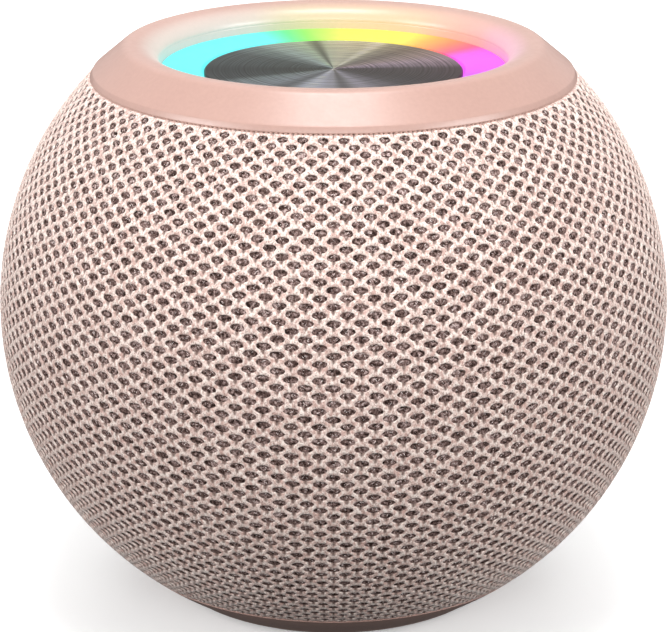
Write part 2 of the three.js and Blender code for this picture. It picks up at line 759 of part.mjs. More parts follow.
function driverAssembly() {
  const coilOut = COIL_OUT_R + GAP;
  const plateLow = PLATE_TOP_Z - PLATE_T;
  const magnetLow = YOKE_Z + YOKE_T + GAP;
  const gasket = driverTube(DRIVER_HOLE_R + 0.2, RIM_R, GAP, RIM_LOW_Z - GAP);
  const magnet = driverTube(MAGNET_IN_R, MAGNET_OUT_R, magnetLow, plateLow - GAP);
  const surround = halfRoll(CONE_R + GAP, SURROUND_OUT_R, SURROUND_Z, SURROUND_T, 1);
  return assembly([
    piece("driver_gasket", gasket, FINISH.softRubber),
    piece("driver_basket", driverBasket(), FINISH.zincPlate),
    piece("driver_top_plate", driverTube(coilOut, PLATE_R, plateLow, PLATE_TOP_Z), FINISH.zincPlate),
    piece("driver_magnet", magnet, FINISH.ferrite),
    piece("driver_yoke", driverYoke(), FINISH.zincPlate),
    piece("voice_coil", driverTube(COIL_IN_R, COIL_OUT_R, COIL_LOW_Z, COIL_TOP_Z), FINISH.copper),
    piece("spider", spider(), FINISH.resinCloth),
    piece("driver_cone", driverCone(), FINISH.paper),
    piece("dust_cap", dustCap(), FINISH.paper),
    piece("cone_surround", surround, FINISH.softRubber),
  ], BAFFLE_Z + BAFFLE_T);
}

// ---- Passive radiator, measured from the underside of the chamber ----

function radiatorAssembly() {
  const rollIn = RADIATOR_R + GAP;
  const rollOut = rollIn + 2 * RADIATOR_ROLL_R;
  const frameLow = -GAP - RADIATOR_FRAME_T;
  const frame = driverTube(RADIATOR_FRAME_IN_R, RADIATOR_FRAME_OUT_R, frameLow, -GAP);
  const plateTop = RADIATOR_PLATE_Z + RADIATOR_PLATE_T;
  const plate = rod(RADIATOR_R, RADIATOR_PLATE_Z, plateTop, DRIVER_SEGMENTS);
  const surround = halfRoll(rollIn, rollOut, RADIATOR_ROLL_Z, RADIATOR_ROLL_T, -1);
  return assembly([
    piece("radiator_frame", frame, FINISH.blackPlastic),
    piece("radiator_surround", surround, FINISH.softRubber),
    piece("radiator_plate", plate, FINISH.steel),
  ], CHAMBER_FLOOR_Z);
}

// ---- Controls ----

const BUTTONS = ["power", "volume_down", "play", "volume_up", "light"];

function buttonX(index) {
  return (index - (BUTTONS.length - 1) / 2) * -BUTTON_PITCH;
}

// The outline of the charging socket, grown by a margin.
function socketOutline(margin) {
  const height = USB_H + 2 * margin;
  return roundedRectangle(USB_W + 2 * margin, height, height / 2);
}

function socketTool(margin, fromY, toY) {
  return alongY(socketOutline(margin), fromY, toY, 0, USB_Z, SMALL_CORNER_STEPS);
}

function controlPanel() {
  const outline = alongY(panelOutline(0), CUT_NEAR, CUT_FAR, 0, PANEL_Z);
  const skin = ball(PANEL_OUT_R, BALL_SEGMENTS).intersect(outline);
  const hole = (radius, x, z, segments) => {
    return rodAlongY(radius, CUT_NEAR, CUT_FAR, x, z, segments);
  };
  const buttonHoles = BUTTONS.map((_, i) => {
    return hole(BUTTON_HOLE_R, buttonX(i), BUTTON_Z, BUTTON_SEGMENTS);
  });
  return cut(skin, [
    ball(PANEL_IN_R, SKIN_SEGMENTS),
    socketTool(USB_SLOT, CUT_NEAR, CUT_FAR),
    hole(PIPE_R + GAP, 0, PIPE_Z, SMALL_SEGMENTS),
    hole(MIC_HOLE_R, MIC_X, USB_Z, SMALL_SEGMENTS),
    ...buttonHoles,
  ]);
}

// A round cap with a flange behind the panel and a stem down to its switch.
function button(x) {
  const flangeFar = Math.abs(x) + BUTTON_FLANGE_R;
  const flangeTop = ballY(PANEL_IN_R, flangeFar, Math.abs(BUTTON_Z) + BUTTON_FLANGE_R) - GAP;
  const flangeLow = flangeTop - BUTTON_FLANGE_T;
  const column = rodAlongY(BUTTON_R, flangeLow, CUT_FAR, x, BUTTON_Z, BUTTON_SEGMENTS);
  const cap = column.intersect(ball(BUTTON_TOP_R, BALL_SEGMENTS));
  const flange = rodAlongY(BUTTON_FLANGE_R, flangeLow, flangeTop, x, BUTTON_Z, BUTTON_SEGMENTS);
  const stemEnd = BOARD_FACE_Y + GAP + SWITCH_T + PLUNGER_T + BUTTON_TRAVEL + GAP;
  const stem = rodAlongY(STEM_R, stemEnd, flangeTop, x, BUTTON_Z);
  return join([cap, flange, stem]);
}

function tactSwitch() {
  const body = blockAlongY(SWITCH_SIZE, SWITCH_SIZE, 0, SWITCH_T, 0, 0);
  const plunger = rodAlongY(PLUNGER_R, SWITCH_T - 0.1, SWITCH_T + PLUNGER_T, 0, 0);
  return join([body, plunger]);
}

function usbShell() {
  const back = BOARD_FACE_Y + GAP;
  const body = socketTool(0, back, USB_MOUTH_Y);
  return cut(body, [socketTool(-USB_WALL, back + USB_BACK_T, USB_MOUTH_Y + 1)]);
}

function usbTongue() {
  const back = BOARD_FACE_Y + 2 * GAP + USB_BACK_T;
  const blockEnd = back + USB_BLOCK_T;
  const block = blockAlongY(USB_BLOCK_W, USB_BLOCK_H, back, blockEnd, 0, USB_Z);
  const tongueEnd = USB_MOUTH_Y - USB_TONGUE_SUNK;
  const tongue = blockAlongY(USB_TONGUE_W, USB_TONGUE_H, blockEnd - 0.4, tongueEnd, 0, USB_Z);
  return join([block, tongue]);
}

// A part soldered to the board: its width, height, thickness, x and z.
const MICROPHONE = [3.8, 2.8, 1.1, MIC_X, USB_Z];
const RADIO_MODULE = [12, 16, 2.2, -9, -6];
const AMPLIFIER = [6, 6, 1.2, 6, -3];

function onBoardFront([width, height, thickness, x, z]) {
  const face = BOARD_FACE_Y + GAP;
  return blockAlongY(width, height, face, face + thickness, x, z);
}

function onBoardBack([width, height, thickness, x, z]) {
  const face = BOARD_Y - GAP;
  return blockAlongY(width, height, face - thickness, face, x, z);
}

function controlsAssembly() {
  const halfBoard = BOARD_W / 2;
  const board = slab(-halfBoard, halfBoard, BOARD_Y, BOARD_FACE_Y, BOARD_LOW_Z, BOARD_TOP_Z);
  const pipeEnd = ballY(PANEL_OUT_R, 0, Math.abs(PIPE_Z)) + PIPE_PROUD;
  const pipe = rodAlongY(PIPE_R, BOARD_FACE_Y + 1, pipeEnd, 0, PIPE_Z);
  const face = BOARD_FACE_Y + GAP;
  const pieces = [
    piece("control_panel", controlPanel(), FINISH.pinkPlastic),
    piece("main_board", board, FINISH.circuitBoard),
    piece("usb_c_shell", usbShell(), FINISH.nickel),
    piece("usb_c_tongue", usbTongue(), FINISH.blackPlastic),
    piece("status_light_pipe", pipe, FINISH.lightGuide),
    piece("microphone", onBoardFront(MICROPHONE), FINISH.nickel),
    piece("radio_module", onBoardBack(RADIO_MODULE), FINISH.nickel),
    piece("amplifier_chip", onBoardBack(AMPLIFIER), FINISH.blackPlastic),
  ];
  BUTTONS.forEach((name, i) => {
    pieces.push(piece(`button_${name}`, button(buttonX(i)), FINISH.pinkRubber));
    pieces.push(piece(`switch_${name}`, tactSwitch(), FINISH.steel, [buttonX(i), face, BUTTON_Z]));
  });
  return assembly(pieces);
}

// ---- The whole speaker ----

const body = assembly([
  assembly([
    piece("knit_sleeve", knitSleeve(), FINISH.knit),
    piece("upper_shell", upperShell(), FINISH.blackPlastic),
    piece("lower_shell", lowerShell(), FINISH.blackPlastic),
  ]),
  lightAssembly(),
  baseAssembly(),
  chamberAssembly(),
  driverAssembly(),
  radiatorAssembly(),
  controlsAssembly(),
], BODY_CENTRE_Z);

const speaker = new THREE.Group();
speaker.name = "ball_speaker";
speaker.add(body);

export default speaker;
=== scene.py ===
"""Looks for a ball-shaped wireless speaker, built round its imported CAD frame.

Profiles and patterns are written in millimetres from the centre of the ball. The mesh
helpers turn them into metres in the frame.
"""

import json
import math

import bmesh
import bpy
import numpy as np
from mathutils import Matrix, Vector


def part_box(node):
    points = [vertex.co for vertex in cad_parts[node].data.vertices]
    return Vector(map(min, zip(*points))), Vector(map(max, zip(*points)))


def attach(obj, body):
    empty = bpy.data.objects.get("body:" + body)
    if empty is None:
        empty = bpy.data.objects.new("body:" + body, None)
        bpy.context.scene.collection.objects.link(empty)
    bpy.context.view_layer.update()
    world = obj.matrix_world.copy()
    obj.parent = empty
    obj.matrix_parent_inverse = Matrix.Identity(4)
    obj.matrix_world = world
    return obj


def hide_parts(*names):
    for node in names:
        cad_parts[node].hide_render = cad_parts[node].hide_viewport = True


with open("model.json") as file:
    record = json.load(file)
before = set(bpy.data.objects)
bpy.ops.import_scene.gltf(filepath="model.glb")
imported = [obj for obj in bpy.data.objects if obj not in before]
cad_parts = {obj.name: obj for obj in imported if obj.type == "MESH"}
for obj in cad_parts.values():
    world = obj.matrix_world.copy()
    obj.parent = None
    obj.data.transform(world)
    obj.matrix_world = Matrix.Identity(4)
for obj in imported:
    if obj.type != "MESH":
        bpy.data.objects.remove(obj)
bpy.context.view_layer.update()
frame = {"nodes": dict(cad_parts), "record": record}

# ---- Sizes read from the frame, in millimetres ----

MM = 0.001


def low_mm(node):
    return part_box(node)[0] / MM


def high_mm(node):
    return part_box(node)[1] / MM


CENTRE_Z = (low_mm("upper_shell").z + high_mm("lower_shell").z) / 2


def under(node):
    """Height of a node's underside above the ball's centre."""
    return low_mm(node).z - CENTRE_Z


def top(node):
    return high_mm(node).z - CENTRE_Z


BALL_CENTRE = Vector((0, 0, CENTRE_Z * MM))
BALL_R = high_mm("knit_sleeve").x
SEAM_R = high_mm("top_ring").x
CROWN_Z = top("top_ring")
SKIRT_Z = under("top_ring")
DISC_R = high_mm("top_disc").x
DISC_TOP_Z = top("top_disc")
DISC_UNDER_Z = under("top_disc")
DIFFUSER_OUT_R = high_mm("light_diffuser").x
DIFFUSER_RIM_Z = top("light_diffuser")
DIFFUSER_LOW_Z = under("light_diffuser")
FLOOR_Z = under("rubber_foot")
FOOT_TOP_Z = top("rubber_foot")
FOOT_OUT_R = high_mm("rubber_foot").x
BASE_Z = under("base_cover")
BASE_SEAM = -50.3  # latitude in degrees where the cloth meets the base
PANEL_W = high_mm("control_panel").x - low_mm("control_panel").x
PANEL_H = top("control_panel") - under("control_panel")
PANEL_Z = (top("control_panel") + under("control_panel")) / 2
KNIT_TOP = math.asin(top("knit_sleeve") / BALL_R)
KNIT_LOW = math.asin(under("knit_sleeve") / BALL_R)

# ---- Camera, floor and light ----

ELEVATION = math.radians(18.5)
CAMERA_DISTANCE = 7.5 * BALL_R * MM
SENSOR_WIDTH = 36
LENS = 133.853
LENS_SHIFT = -0.02594  # the ball sits a little above the middle of the picture
# Brightness of the studio, by height from straight down at 0 to straight up at 1
STUDIO = [(0.0, 0.06), (0.25, 0.07), (0.44, 0.11), (0.53, 0.56), (0.75, 0.46), (1.0, 0.36)]
FLOOR_REACH = 6.0


def link(name, data):
    """A new object in the scene."""
    item = bpy.data.objects.new(name, data)
    bpy.context.scene.collection.objects.link(item)
    return item


def aim(item, direction):
    item.rotation_mode = "QUATERNION"
    item.rotation_quaternion = direction.to_track_quat("-Z", "Y")


def set_camera():
    data = bpy.data.cameras.new("camera")
    camera = link("camera", data)
    back = Vector((0, -math.cos(ELEVATION), math.sin(ELEVATION)))
    camera.location = BALL_CENTRE + back * CAMERA_DISTANCE
    aim(camera, -back)
    data.sensor_width = SENSOR_WIDTH
    data.lens = LENS
    data.shift_y = LENS_SHIFT
    data.clip_start, data.clip_end = 0.01, 50
    bpy.context.scene.camera = camera


def add_area_light(name, location, size, power):
    """A soft box that faces the ball."""
    data = bpy.data.lights.new(name, "AREA")
    data.shape = "RECTANGLE"
    data.size, data.size_y = size
    data.energy = power
    light = link(name, data)
    light.location = location
    aim(light, BALL_CENTRE - Vector(location))
    return light


def set_world():
    """A soft studio: white above and around, darker from below."""
    world = bpy.data.worlds.new("studio")
    bpy.context.scene.world = world
    world.use_nodes = True
    sky = Nodes(world.node_tree)
    height = sky.range(sky.axes(sky.coordinates.outputs["Generated"])[2], -1, 1)
    colour = sky.ramp(height, [(at, (v, v, v)) for at, v in STUDIO])
    sky.feed(world.node_tree.nodes["Background"].inputs["Color"], colour)


def add_floor():
    """A pale floor, which the speaker's own surfaces don't mirror or take light from."""
    m = Material("studio_floor", (0.93, 0.93, 0.93), 0.9)
    m.set("Emission Color", (1.0, 1.0, 1.0, 1.0))
    m.set("Emission Strength", 0.2)
    m.set("Base Color", m.mix(m.noise(3, 2), (0.925, 0.925, 0.925), (0.935, 0.935, 0.935)))
    mesh = bpy.data.meshes.new("floor")
    corners = ((-1, -1), (1, -1), (1, 1), (-1, 1))
    mesh.from_pydata([(x * FLOOR_REACH, y * FLOOR_REACH, 0) for x, y in corners], [], [range(4)])
    mesh.materials.append(m.material)
    floor = link("floor", mesh)
    floor.visible_diffuse = False
    floor.visible_glossy = False


# ---- Materials ----


def rgb(red, green, blue):
    """A colour given as 0 to 255 display values, as linear light."""
    values = [v / 255 for v in (red, green, blue)]
    return tuple(v / 12.92 if v <= 0.04045 else ((v + 0.055) / 1.055) ** 2.4 for v in values)


class Nodes:
    """A node tree and short calls to wire it."""

    def __init__(self, tree):
        self.tree = tree
        self.coordinates = self.add("ShaderNodeTexCoord")

    def add(self, kind, **settings):
        node = self.tree.nodes.new(kind)
        for key, value in settings.items():
            setattr(node, key, value)
        return node

    def feed(self, socket, value):
        if isinstance(value, bpy.types.NodeSocket):
            self.tree.links.new(value, socket)
        else:
            socket.default_value = value

    def math(self, operation, a, b=0.0, c=0.0):
        node = self.add("ShaderNodeMath", operation=operation)
        for socket, value in zip(node.inputs, (a, b, c)):
            self.feed(socket, value)
        return node.outputs[0]

    def times(self, a, b):
        return self.math("MULTIPLY", a, b)

    def axes(self, vector=None):
        node = self.add("ShaderNodeSeparateXYZ")
        self.feed(node.inputs[0], vector or self.coordinates.outputs["Object"])
        return node.outputs

    def noise(self, scale, detail=2.0, roughness=0.5, z_scale=1):
        """Fractal noise in the object's own metres, squeezed along Z."""
        node = self.add("ShaderNodeTexNoise")
        mapping = self.add("ShaderNodeMapping")
        mapping.inputs["Scale"].default_value = (1, 1, z_scale)
        self.feed(mapping.inputs["Vector"], self.coordinates.outputs["Object"])
        self.feed(node.inputs["Vector"], mapping.outputs[0])
        node.inputs["Scale"].default_value = scale
        node.inputs["Detail"].default_value = detail
        node.inputs["Roughness"].default_value = roughness
        return node.outputs["Fac"]

    def range(self, value, low, high, to_low=0.0, to_high=1.0, smooth=False):
        node = self.add("ShaderNodeMapRange")
        node.interpolation_type = "SMOOTHSTEP" if smooth else "LINEAR"
        self.feed(node.inputs["Value"], value)
        for name, number in zip(
            ("From Min", "From Max", "To Min", "To Max"), (low, high, to_low, to_high)
        ):
            node.inputs[name].default_value = number
        return node.outputs["Result"]

    def mix(self, factor, a, b, blend="MIX"):
        node = self.add("ShaderNodeMix", data_type="RGBA", blend_type=blend)
        self.feed(node.inputs["Factor"], factor)
        for socket, value in ((node.inputs[6], a), (node.inputs[7], b)):
            self.feed(socket, (*value, 1) if isinstance(value, tuple) else value)
        return node.outputs[2]

    def ramp(self, factor, stops, interpolation="LINEAR"):
        """A colour for a factor, from (position, colour) stops."""
        node = self.add("ShaderNodeValToRGB")
        ramp = node.color_ramp
        ramp.interpolation = interpolation
        ramp.elements.remove(ramp.elements[-1])
        for i, (position, colour) in enumerate(stops):
            element = ramp.elements[0] if i == 0 else ramp.elements.new(position)
            element.position = position
            element.color = (*colour, 1)
        self.feed(node.inputs["Fac"], factor)
        return node.outputs["Color"]


class Material(Nodes):
    """A Principled material. Keywords are its sockets, with _ for a space."""

    def __init__(self, name, colour, roughness, metallic=0.0, **sockets):
        self.material = bpy.data.materials.new(name)
        self.material.use_nodes = True
        super().__init__(self.material.node_tree)
        self.shader = self.tree.nodes["Principled BSDF"]
        self.set("Base Color", (*colour, 1))
        self.set("Roughness", roughness)
        self.set("Metallic", metallic)
        for socket, value in sockets.items():
            self.set(socket.replace("_", " "), value)

    def set(self, name, value):
        self.feed(self.shader.inputs[name], value)

    def bump(self, height, distance, strength=1.0):
        node = self.add("ShaderNodeBump")
        node.inputs["Strength"].default_value = strength
        node.inputs["Distance"].default_value = distance
        self.feed(node.inputs["Height"], height)
        self.set("Normal", node.outputs[0])

    def around(self):
        """Angle round the Z axis as a share of a turn, from +X towards +Y."""
        x, y, _ = self.axes()
        angle = self.math("ARCTAN2", y, x)
        turn = self.math("MULTIPLY_ADD", angle, 0.5 / math.pi, 1.0)
        return self.math("FRACT", turn)

    def from_axis(self):
        """Distance from the Z axis, in millimetres."""
        x, y, _ = self.axes()
        squares = self.math("MULTIPLY_ADD", x, x, self.times(y, y))
        return self.math("DIVIDE", self.math("SQRT", squares), MM)


# Colours of the light round the dish, by the angle in degrees from +X towards +Y
LIGHT_COLOURS = [
    (0, (236, 100, 250)), (12, (252, 104, 252)), (24, (252, 100, 225)),
    (31, (250, 105, 140)), (40, (252, 142, 108)), (50, (252, 184, 98)),
    (60, (251, 240, 104)), (72, (252, 253, 104)), (84, (248, 255, 104)),
    (93, (205, 254, 104)), (101, (150, 254, 106)), (108, (112, 254, 150)),
    (118, (112, 253, 240)), (130, (112, 252, 255)), (175, (112, 254, 252)),
    (205, (104, 236, 240)), (230, (96, 178, 252)), (262, (104, 120, 255)),
    (300, (146, 100, 255)), (335, (196, 98, 252)), (360, (236, 100, 250)),
]


def light_ramp(material):
    stops = [(angle / 360, rgb(*colour)) for angle, colour in LIGHT_COLOURS]
    return material.ramp(material.around(), stops)


def pink_plastic():
    """Satin moulded plastic, with painted light from the dish on the slope round it: the lights'
    colours mixed into the base colour, and a faint emission.
    """
    glow_in, glow_out = LIP_R + 0.2, LIP_R + 3.6
    glow_low, glow_high = CENTRE_Z + SEAT_Z - 0.6, CENTRE_Z + SEAT_Z + 0.4
    pink = rgb(188, 152, 141)
    m = Material("satin_pink_plastic", pink, 0.34, Coat_Weight=0.1, Coat_Roughness=0.22)
    cloud = m.noise(60, 3)
    tint = m.mix(m.range(cloud, 0.35, 0.65), rgb(190, 154, 143), rgb(186, 150, 139))
    grain = m.range(m.noise(1700, 3), 0.3, 0.7, 0.97, 1.02)
    tint = m.mix(1.0, tint, grain, "MULTIPLY")
    # painted light: near the lip the dish's colours tint the plastic and it emits a little,
    # standing in for the light the dish casts on it
    near = m.range(m.from_axis(), glow_in, glow_out, 1.0, 0.0, smooth=True)
    above = m.range(m.math("DIVIDE", m.axes()[2], MM), glow_low, glow_high)
    painted_spill = m.times(near, above)
    light = light_ramp(m)
    m.set("Base Color", m.mix(m.times(painted_spill, 0.1), tint, light))
    m.set("Emission Color", m.mix(0.75, light, (1.0, 0.9, 0.82)))
    m.set("Emission Strength", m.times(painted_spill, 0.2))
    m.set("Roughness", m.range(m.noise(900, 4), 0.3, 0.7, 0.29, 0.37))
    m.bump(m.noise(1900, 3), 0.00002, 0.35)
    return m


def yarn():
    """Brushed face yarn, with painted shade in its dips and down its holes. UVs hold each
    stitch's own place, from -1 to 1 across and up.
    """
    m = Material("face_yarn", rgb(248, 228, 217), 0.85, Specular_IOR_Level=0.2)
    m.set("Sheen Weight", 0.25)
    m.set("Sheen Roughness", 0.5)
    u, v, _ = m.axes(m.coordinates.outputs["UV"])
    depth = m.add("ShaderNodeAttribute", attribute_name="depth").outputs["Fac"]
    side = m.math("ABSOLUTE", u)

    def spot(across, up, core, rim):
        """1 inside a round spot on both sides of a stitch, 0 outside it."""
        x, y = m.math("SUBTRACT", side, across), m.math("SUBTRACT", v, up)
        reach = m.math("SQRT", m.math("MULTIPLY_ADD", x, x, m.times(y, y)))
        return m.range(reach, core, rim, 1, 0, smooth=True)

    strand = m.noise(2300, 3, 0.65, z_scale=0.6)
    tuft = m.noise(1000, 2)
    colour = m.mix(m.range(strand, 0.38, 0.6), rgb(206, 172, 162), rgb(255, 240, 231))
    colour = m.mix(m.range(tuft, 0.45, 0.75, 0, 0.3), colour, rgb(222, 184, 173))
    fleck = m.range(m.noise(4200, 1), 0.56, 0.66)
    colour = m.mix(m.times(fleck, 0.55), colour, rgb(150, 116, 107))
    eyelets = m.times(spot(0.26, 0.72, 0.03, 0.08), 0.7)
    colour = m.mix(eyelets, colour, rgb(128, 96, 88))
    # painted shade on the web at either side below each hole, where the yarn dips
    waist = m.times(spot(0.38, -0.62, 0.04, 0.2), 0.45)
    colour = m.mix(waist, colour, rgb(186, 148, 138))
    # painted shade in the valley between two loops under every hole
    reach = m.math("MULTIPLY_ADD", v, -0.3, side)
    valley = m.times(m.range(reach, 0.25, 0.42, 1, 0, True), m.range(v, -0.4, -0.46))
    valley = m.times(valley, m.range(v, -1.0, -0.8, 0.3, 1.0))
    colour = m.mix(m.times(valley, 0.85), colour, rgb(122, 98, 89))
    # painted shade: darker down each hole's wall, by the depth attribute
    colour = m.mix(m.range(depth, 0.13, 0.24, 0, 1), colour, rgb(96, 78, 72))
    m.set("Base Color", colour)
    m.bump(strand, 0.00014)
    return m


def backing_strand():
    """Loose filaments that cross the holes."""
    m = Material("backing_strand", rgb(196, 174, 168), 0.85)
    tone = m.noise(900, 2, 0.7)
    tint = m.mix(m.range(tone, 0.4, 0.6), rgb(112, 90, 86), rgb(250, 234, 230))
    m.set("Base Color", tint)
    m.bump(m.noise(5000, 2), 0.00005, 0.6)
    return m


def backing_cloth():
    """Dark spacer cloth behind the face, with pale strands crossing in it."""
    m = Material("backing_cloth", rgb(110, 92, 88), 0.95, Specular_IOR_Level=0.15)
    fine = m.noise(2500, 3, 0.6)
    broad = m.noise(900, 2)
    value = m.math("MULTIPLY_ADD", broad, 0.15, m.times(fine, 0.85))
    colours = [
        (0.38, rgb(42, 29, 26)),
        (0.48, rgb(96, 75, 70)),
        (0.56, rgb(142, 118, 113)),
        (0.66, rgb(206, 184, 180)),
    ]
    m.set("Base Color", m.ramp(value, colours))
    m.bump(value, 0.0002)
    return m


def stitch_thread():
    m = Material("seam_thread", rgb(214, 178, 166), 0.8)
    twist = m.noise(2400, 2)
    m.set("Base Color", m.mix(twist, rgb(178, 142, 131), rgb(244, 212, 201)))
    m.bump(twist, 0.00006)
    return m


def lit_diffuser():
    """Frosted light guide with the colours of the lights behind it."""
    m = Material("lit_diffuser", (0.04, 0.04, 0.04), 0.5, Specular_IOR_Level=0.05)
    colour = light_ramp(m)
    frost = m.noise(500, 3)
    m.set("Base Color", m.mix(0.9, colour, (0.02, 0.02, 0.02)))
    m.set("Emission Color", colour)
    m.set("Emission Strength", m.range(frost, 0.3, 0.7, 0.97, 1.04))
    m.bump(frost, 0.00001, 0.3)
    return m


# Painted reflection round the spun disc: brightness by the angle in degrees from +X towards +Y
REFLECTION_WEDGES = [
    (0, 66), (12, 140), (22, 176), (34, 170), (48, 140), (60, 172), (68, 252), (74, 214),
    (84, 226), (93, 222), (99, 118), (106, 214), (120, 200), (134, 140), (148, 92),
    (165, 78), (182, 46), (200, 62), (212, 152), (226, 168), (238, 122), (253, 240),
    (268, 196), (277, 108), (290, 188), (305, 130), (318, 76), (335, 58), (350, 60),
    (360, 66),
]


def spun_metal():
    """Aluminium turned on a lathe: fine rings, broad bright and dark wedges of painted
    reflection, and a painted tint from the dish's lights.
    """
    m = Material("spun_aluminium", rgb(150, 150, 150), 0.3, 1.0, Anisotropic=0.7)
    stops = [(angle / 360, rgb(v, v, v)) for angle, v in REFLECTION_WEDGES]
    # painted reflection: bright and dark wedges fixed round the disc, where a spun finish mirrors
    # the lamps
    wedges = m.ramp(m.around(), stops, "EASE")
    rings = m.add("ShaderNodeTexNoise", noise_dimensions="1D")
    m.feed(rings.inputs["W"], m.from_axis())
    rings.inputs["Scale"].default_value = 2.6
    rings.inputs["Detail"].default_value = 2
    lines = m.range(rings.outputs["Fac"], 0.35, 0.65, 0.55, 1.5)
    # painted reflection of the dish's coloured lights on the metal
    painted_led_tinge = m.mix(0.25, (1.0, 1.0, 1.0), light_ramp(m))
    m.set("Base Color", m.mix(1.0, m.mix(1.0, wedges, lines, "MULTIPLY"), painted_led_tinge, "MULTIPLY"))
    tangent = m.add("ShaderNodeTangent", direction_type="RADIAL", axis="Z")
    m.set("Tangent", tangent.outputs[0])
    m.bump(rings.outputs["Fac"], 0.00003, 0.4)
    return m


def soft_rubber(name, colour, roughness):
    m = Material(name, colour, roughness)
    dust = m.noise(1500, 4)
    darker = tuple(v * 0.8 for v in colour)
    m.set("Base Color", m.mix(m.range(dust, 0.35, 0.7), colour, darker))
    m.bump(m.noise(3000, 2), 0.00003, 0.5)
    return m


def moulded(name, colour, roughness):
    m = Material(name, colour, roughness)
    cloud = m.noise(300, 3)
    paler = tuple(min(1.0, v * 1.15) for v in colour)
    m.set("Base Color", m.mix(m.range(cloud, 0.3, 0.7), colour, paler))
    m.set("Roughness", m.range(cloud, 0.3, 0.7, roughness - 0.06, roughness + 0.06))
    m.bump(m.noise(2200, 3), 0.00003, 0.5)
    return m


def metal(name, colour, roughness):
    m = Material(name, colour, roughness, 1.0)
    brushed = m.noise(700, 3, z_scale=14)
    m.set("Roughness", m.range(brushed, 0.3, 0.7, roughness * 0.8, roughness * 1.3))
    duller = tuple(v * 0.86 for v in colour)
    m.set("Base Color", m.mix(brushed, duller, colour))
    m.bump(brushed, 0.00001, 0.4)
    return m


def woven(name, light, dark):
    m = Material(name, light, 0.9)
    threads = m.noise(1800, 2)
    m.set("Base Color", m.mix(m.range(threads, 0.4, 0.6), dark, light))
    m.bump(threads, 0.00008)
    return m


def circuit(name, mask, track):
    m = Material(name, mask, 0.42)
    cells = m.add("ShaderNodeTexVoronoi", distance="MANHATTAN", feature="DISTANCE_TO_EDGE")
    m.feed(cells.inputs["Vector"], m.coordinates.outputs["Object"])
    cells.inputs["Scale"].default_value = 480
    lines = m.range(cells.outputs["Distance"], 0.02, 0.05, 1.0, 0.0)
    m.set("Base Color", m.mix(lines, mask, track))
    m.bump(lines, 0.00003, 0.6)
    return m


# ---- Meshes ----


def to_object(name, mesh, material, body="housing"):
    mesh.materials.append(material.material)
    piece = link(name, mesh)
    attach(piece, body)
    return piece


def make_mesh(name, points, faces, sharp=35):
    """points are in millimetres from the ball's centre; faces hold indices."""
    mesh = bpy.data.meshes.new(name)
    placed = (np.asarray(points, float) + (0, 0, CENTRE_Z)) * MM
    mesh.from_pydata(placed.tolist(), [], faces)
    mesh.validate()
    mesh.polygons.foreach_set("use_smooth", [True] * len(mesh.polygons))
    if sharp:
        mesh.set_sharp_from_angle(angle=math.radians(sharp))
    return mesh


def tube(rings, count, base=0):
    """Faces of rings of count points each, joined one after another and closed at both ends."""
    index = base + np.arange(rings * count).reshape(rings, count)
    after = np.roll(index, -1, axis=1)
    sides = np.stack((index[:-1], after[:-1], after[1:], index[1:]), axis=-1).reshape(-1, 4)
    return [*sides.tolist(), index[0, ::-1].tolist(), index[-1].tolist()]


def grid_quads(index, after):
    """Quads between lines of point numbers and the lines next to them."""
    quads = np.stack((index[:, :-1], after[:, :-1], after[:, 1:], index[:, 1:]), axis=-1)
    return quads.reshape(-1, 4)


def slab(outer, inner, quads):
    """Points and faces of two matching skins, with a wall along every open edge."""
    count = len(outer)
    edges = {}
    for quad in quads:
        for a, b in zip(quad, quad[1:] + quad[:1]):
            if edges.pop((b, a), None) is None:
                edges[(a, b)] = True
    faces = quads + [[i + count for i in quad[::-1]] for quad in quads]
    faces += [[b, a, a + count, b + count] for a, b in edges]
    return np.concatenate((outer, inner)), faces


def direction(azimuth, latitude):
    """Unit vectors away from the centre of the ball."""
    flat = np.cos(latitude)
    return np.stack((flat * np.cos(azimuth), flat * np.sin(azimuth), np.sin(latitude)), axis=-1)


def solid(name, points, faces, sharp=30):
    """A closed mesh whose faces all look outwards."""
    mesh = make_mesh(name, points, faces, sharp=None)
    bm = bmesh.new()
    bm.from_mesh(mesh)
    bmesh.ops.recalc_face_normals(bm, faces=bm.faces)
    bm.to_mesh(mesh)
    bm.free()
    mesh.set_sharp_from_angle(angle=math.radians(sharp))
    return mesh


def arc(centre_r, centre_z, radius, start, end, steps):
    """Points on a circle in the r-z half plane, angles in degrees."""
    angles = np.radians(np.linspace(start, end, steps + 1))
    return [(centre_r + radius * math.cos(a), centre_z + radius * math.sin(a)) for a in angles]


def fillet(corners, steps=4):
    """A closed outline of (r, z, radius) corners, with each corner rounded to its radius."""
    outline = []
    for i, (r, z, radius) in enumerate(corners):
        here = np.array((r, z))
        if radius == 0:
            outline.append((r, z))
            continue
        before = np.array(corners[i - 1][:2]) - here
        after = np.array(corners[(i + 1) % len(corners)][:2]) - here
        before_unit = before / np.linalg.norm(before)
        after_unit = after / np.linalg.norm(after)
        half = math.acos(np.clip(before_unit @ after_unit, -1, 1)) / 2
        reach = radius / math.tan(half)
        middle = (before_unit + after_unit) / np.linalg.norm(before_unit + after_unit)
        centre = here + middle * radius / math.sin(half)
        start = here + before_unit * reach - centre
        end = here + after_unit * reach - centre
        a = math.atan2(start[1], start[0])
        turn = (math.atan2(end[1], end[0]) - a + math.pi) % (2 * math.pi) - math.pi
        outline += arc(*centre, radius, math.degrees(a), math.degrees(a + turn), steps)
    return outline


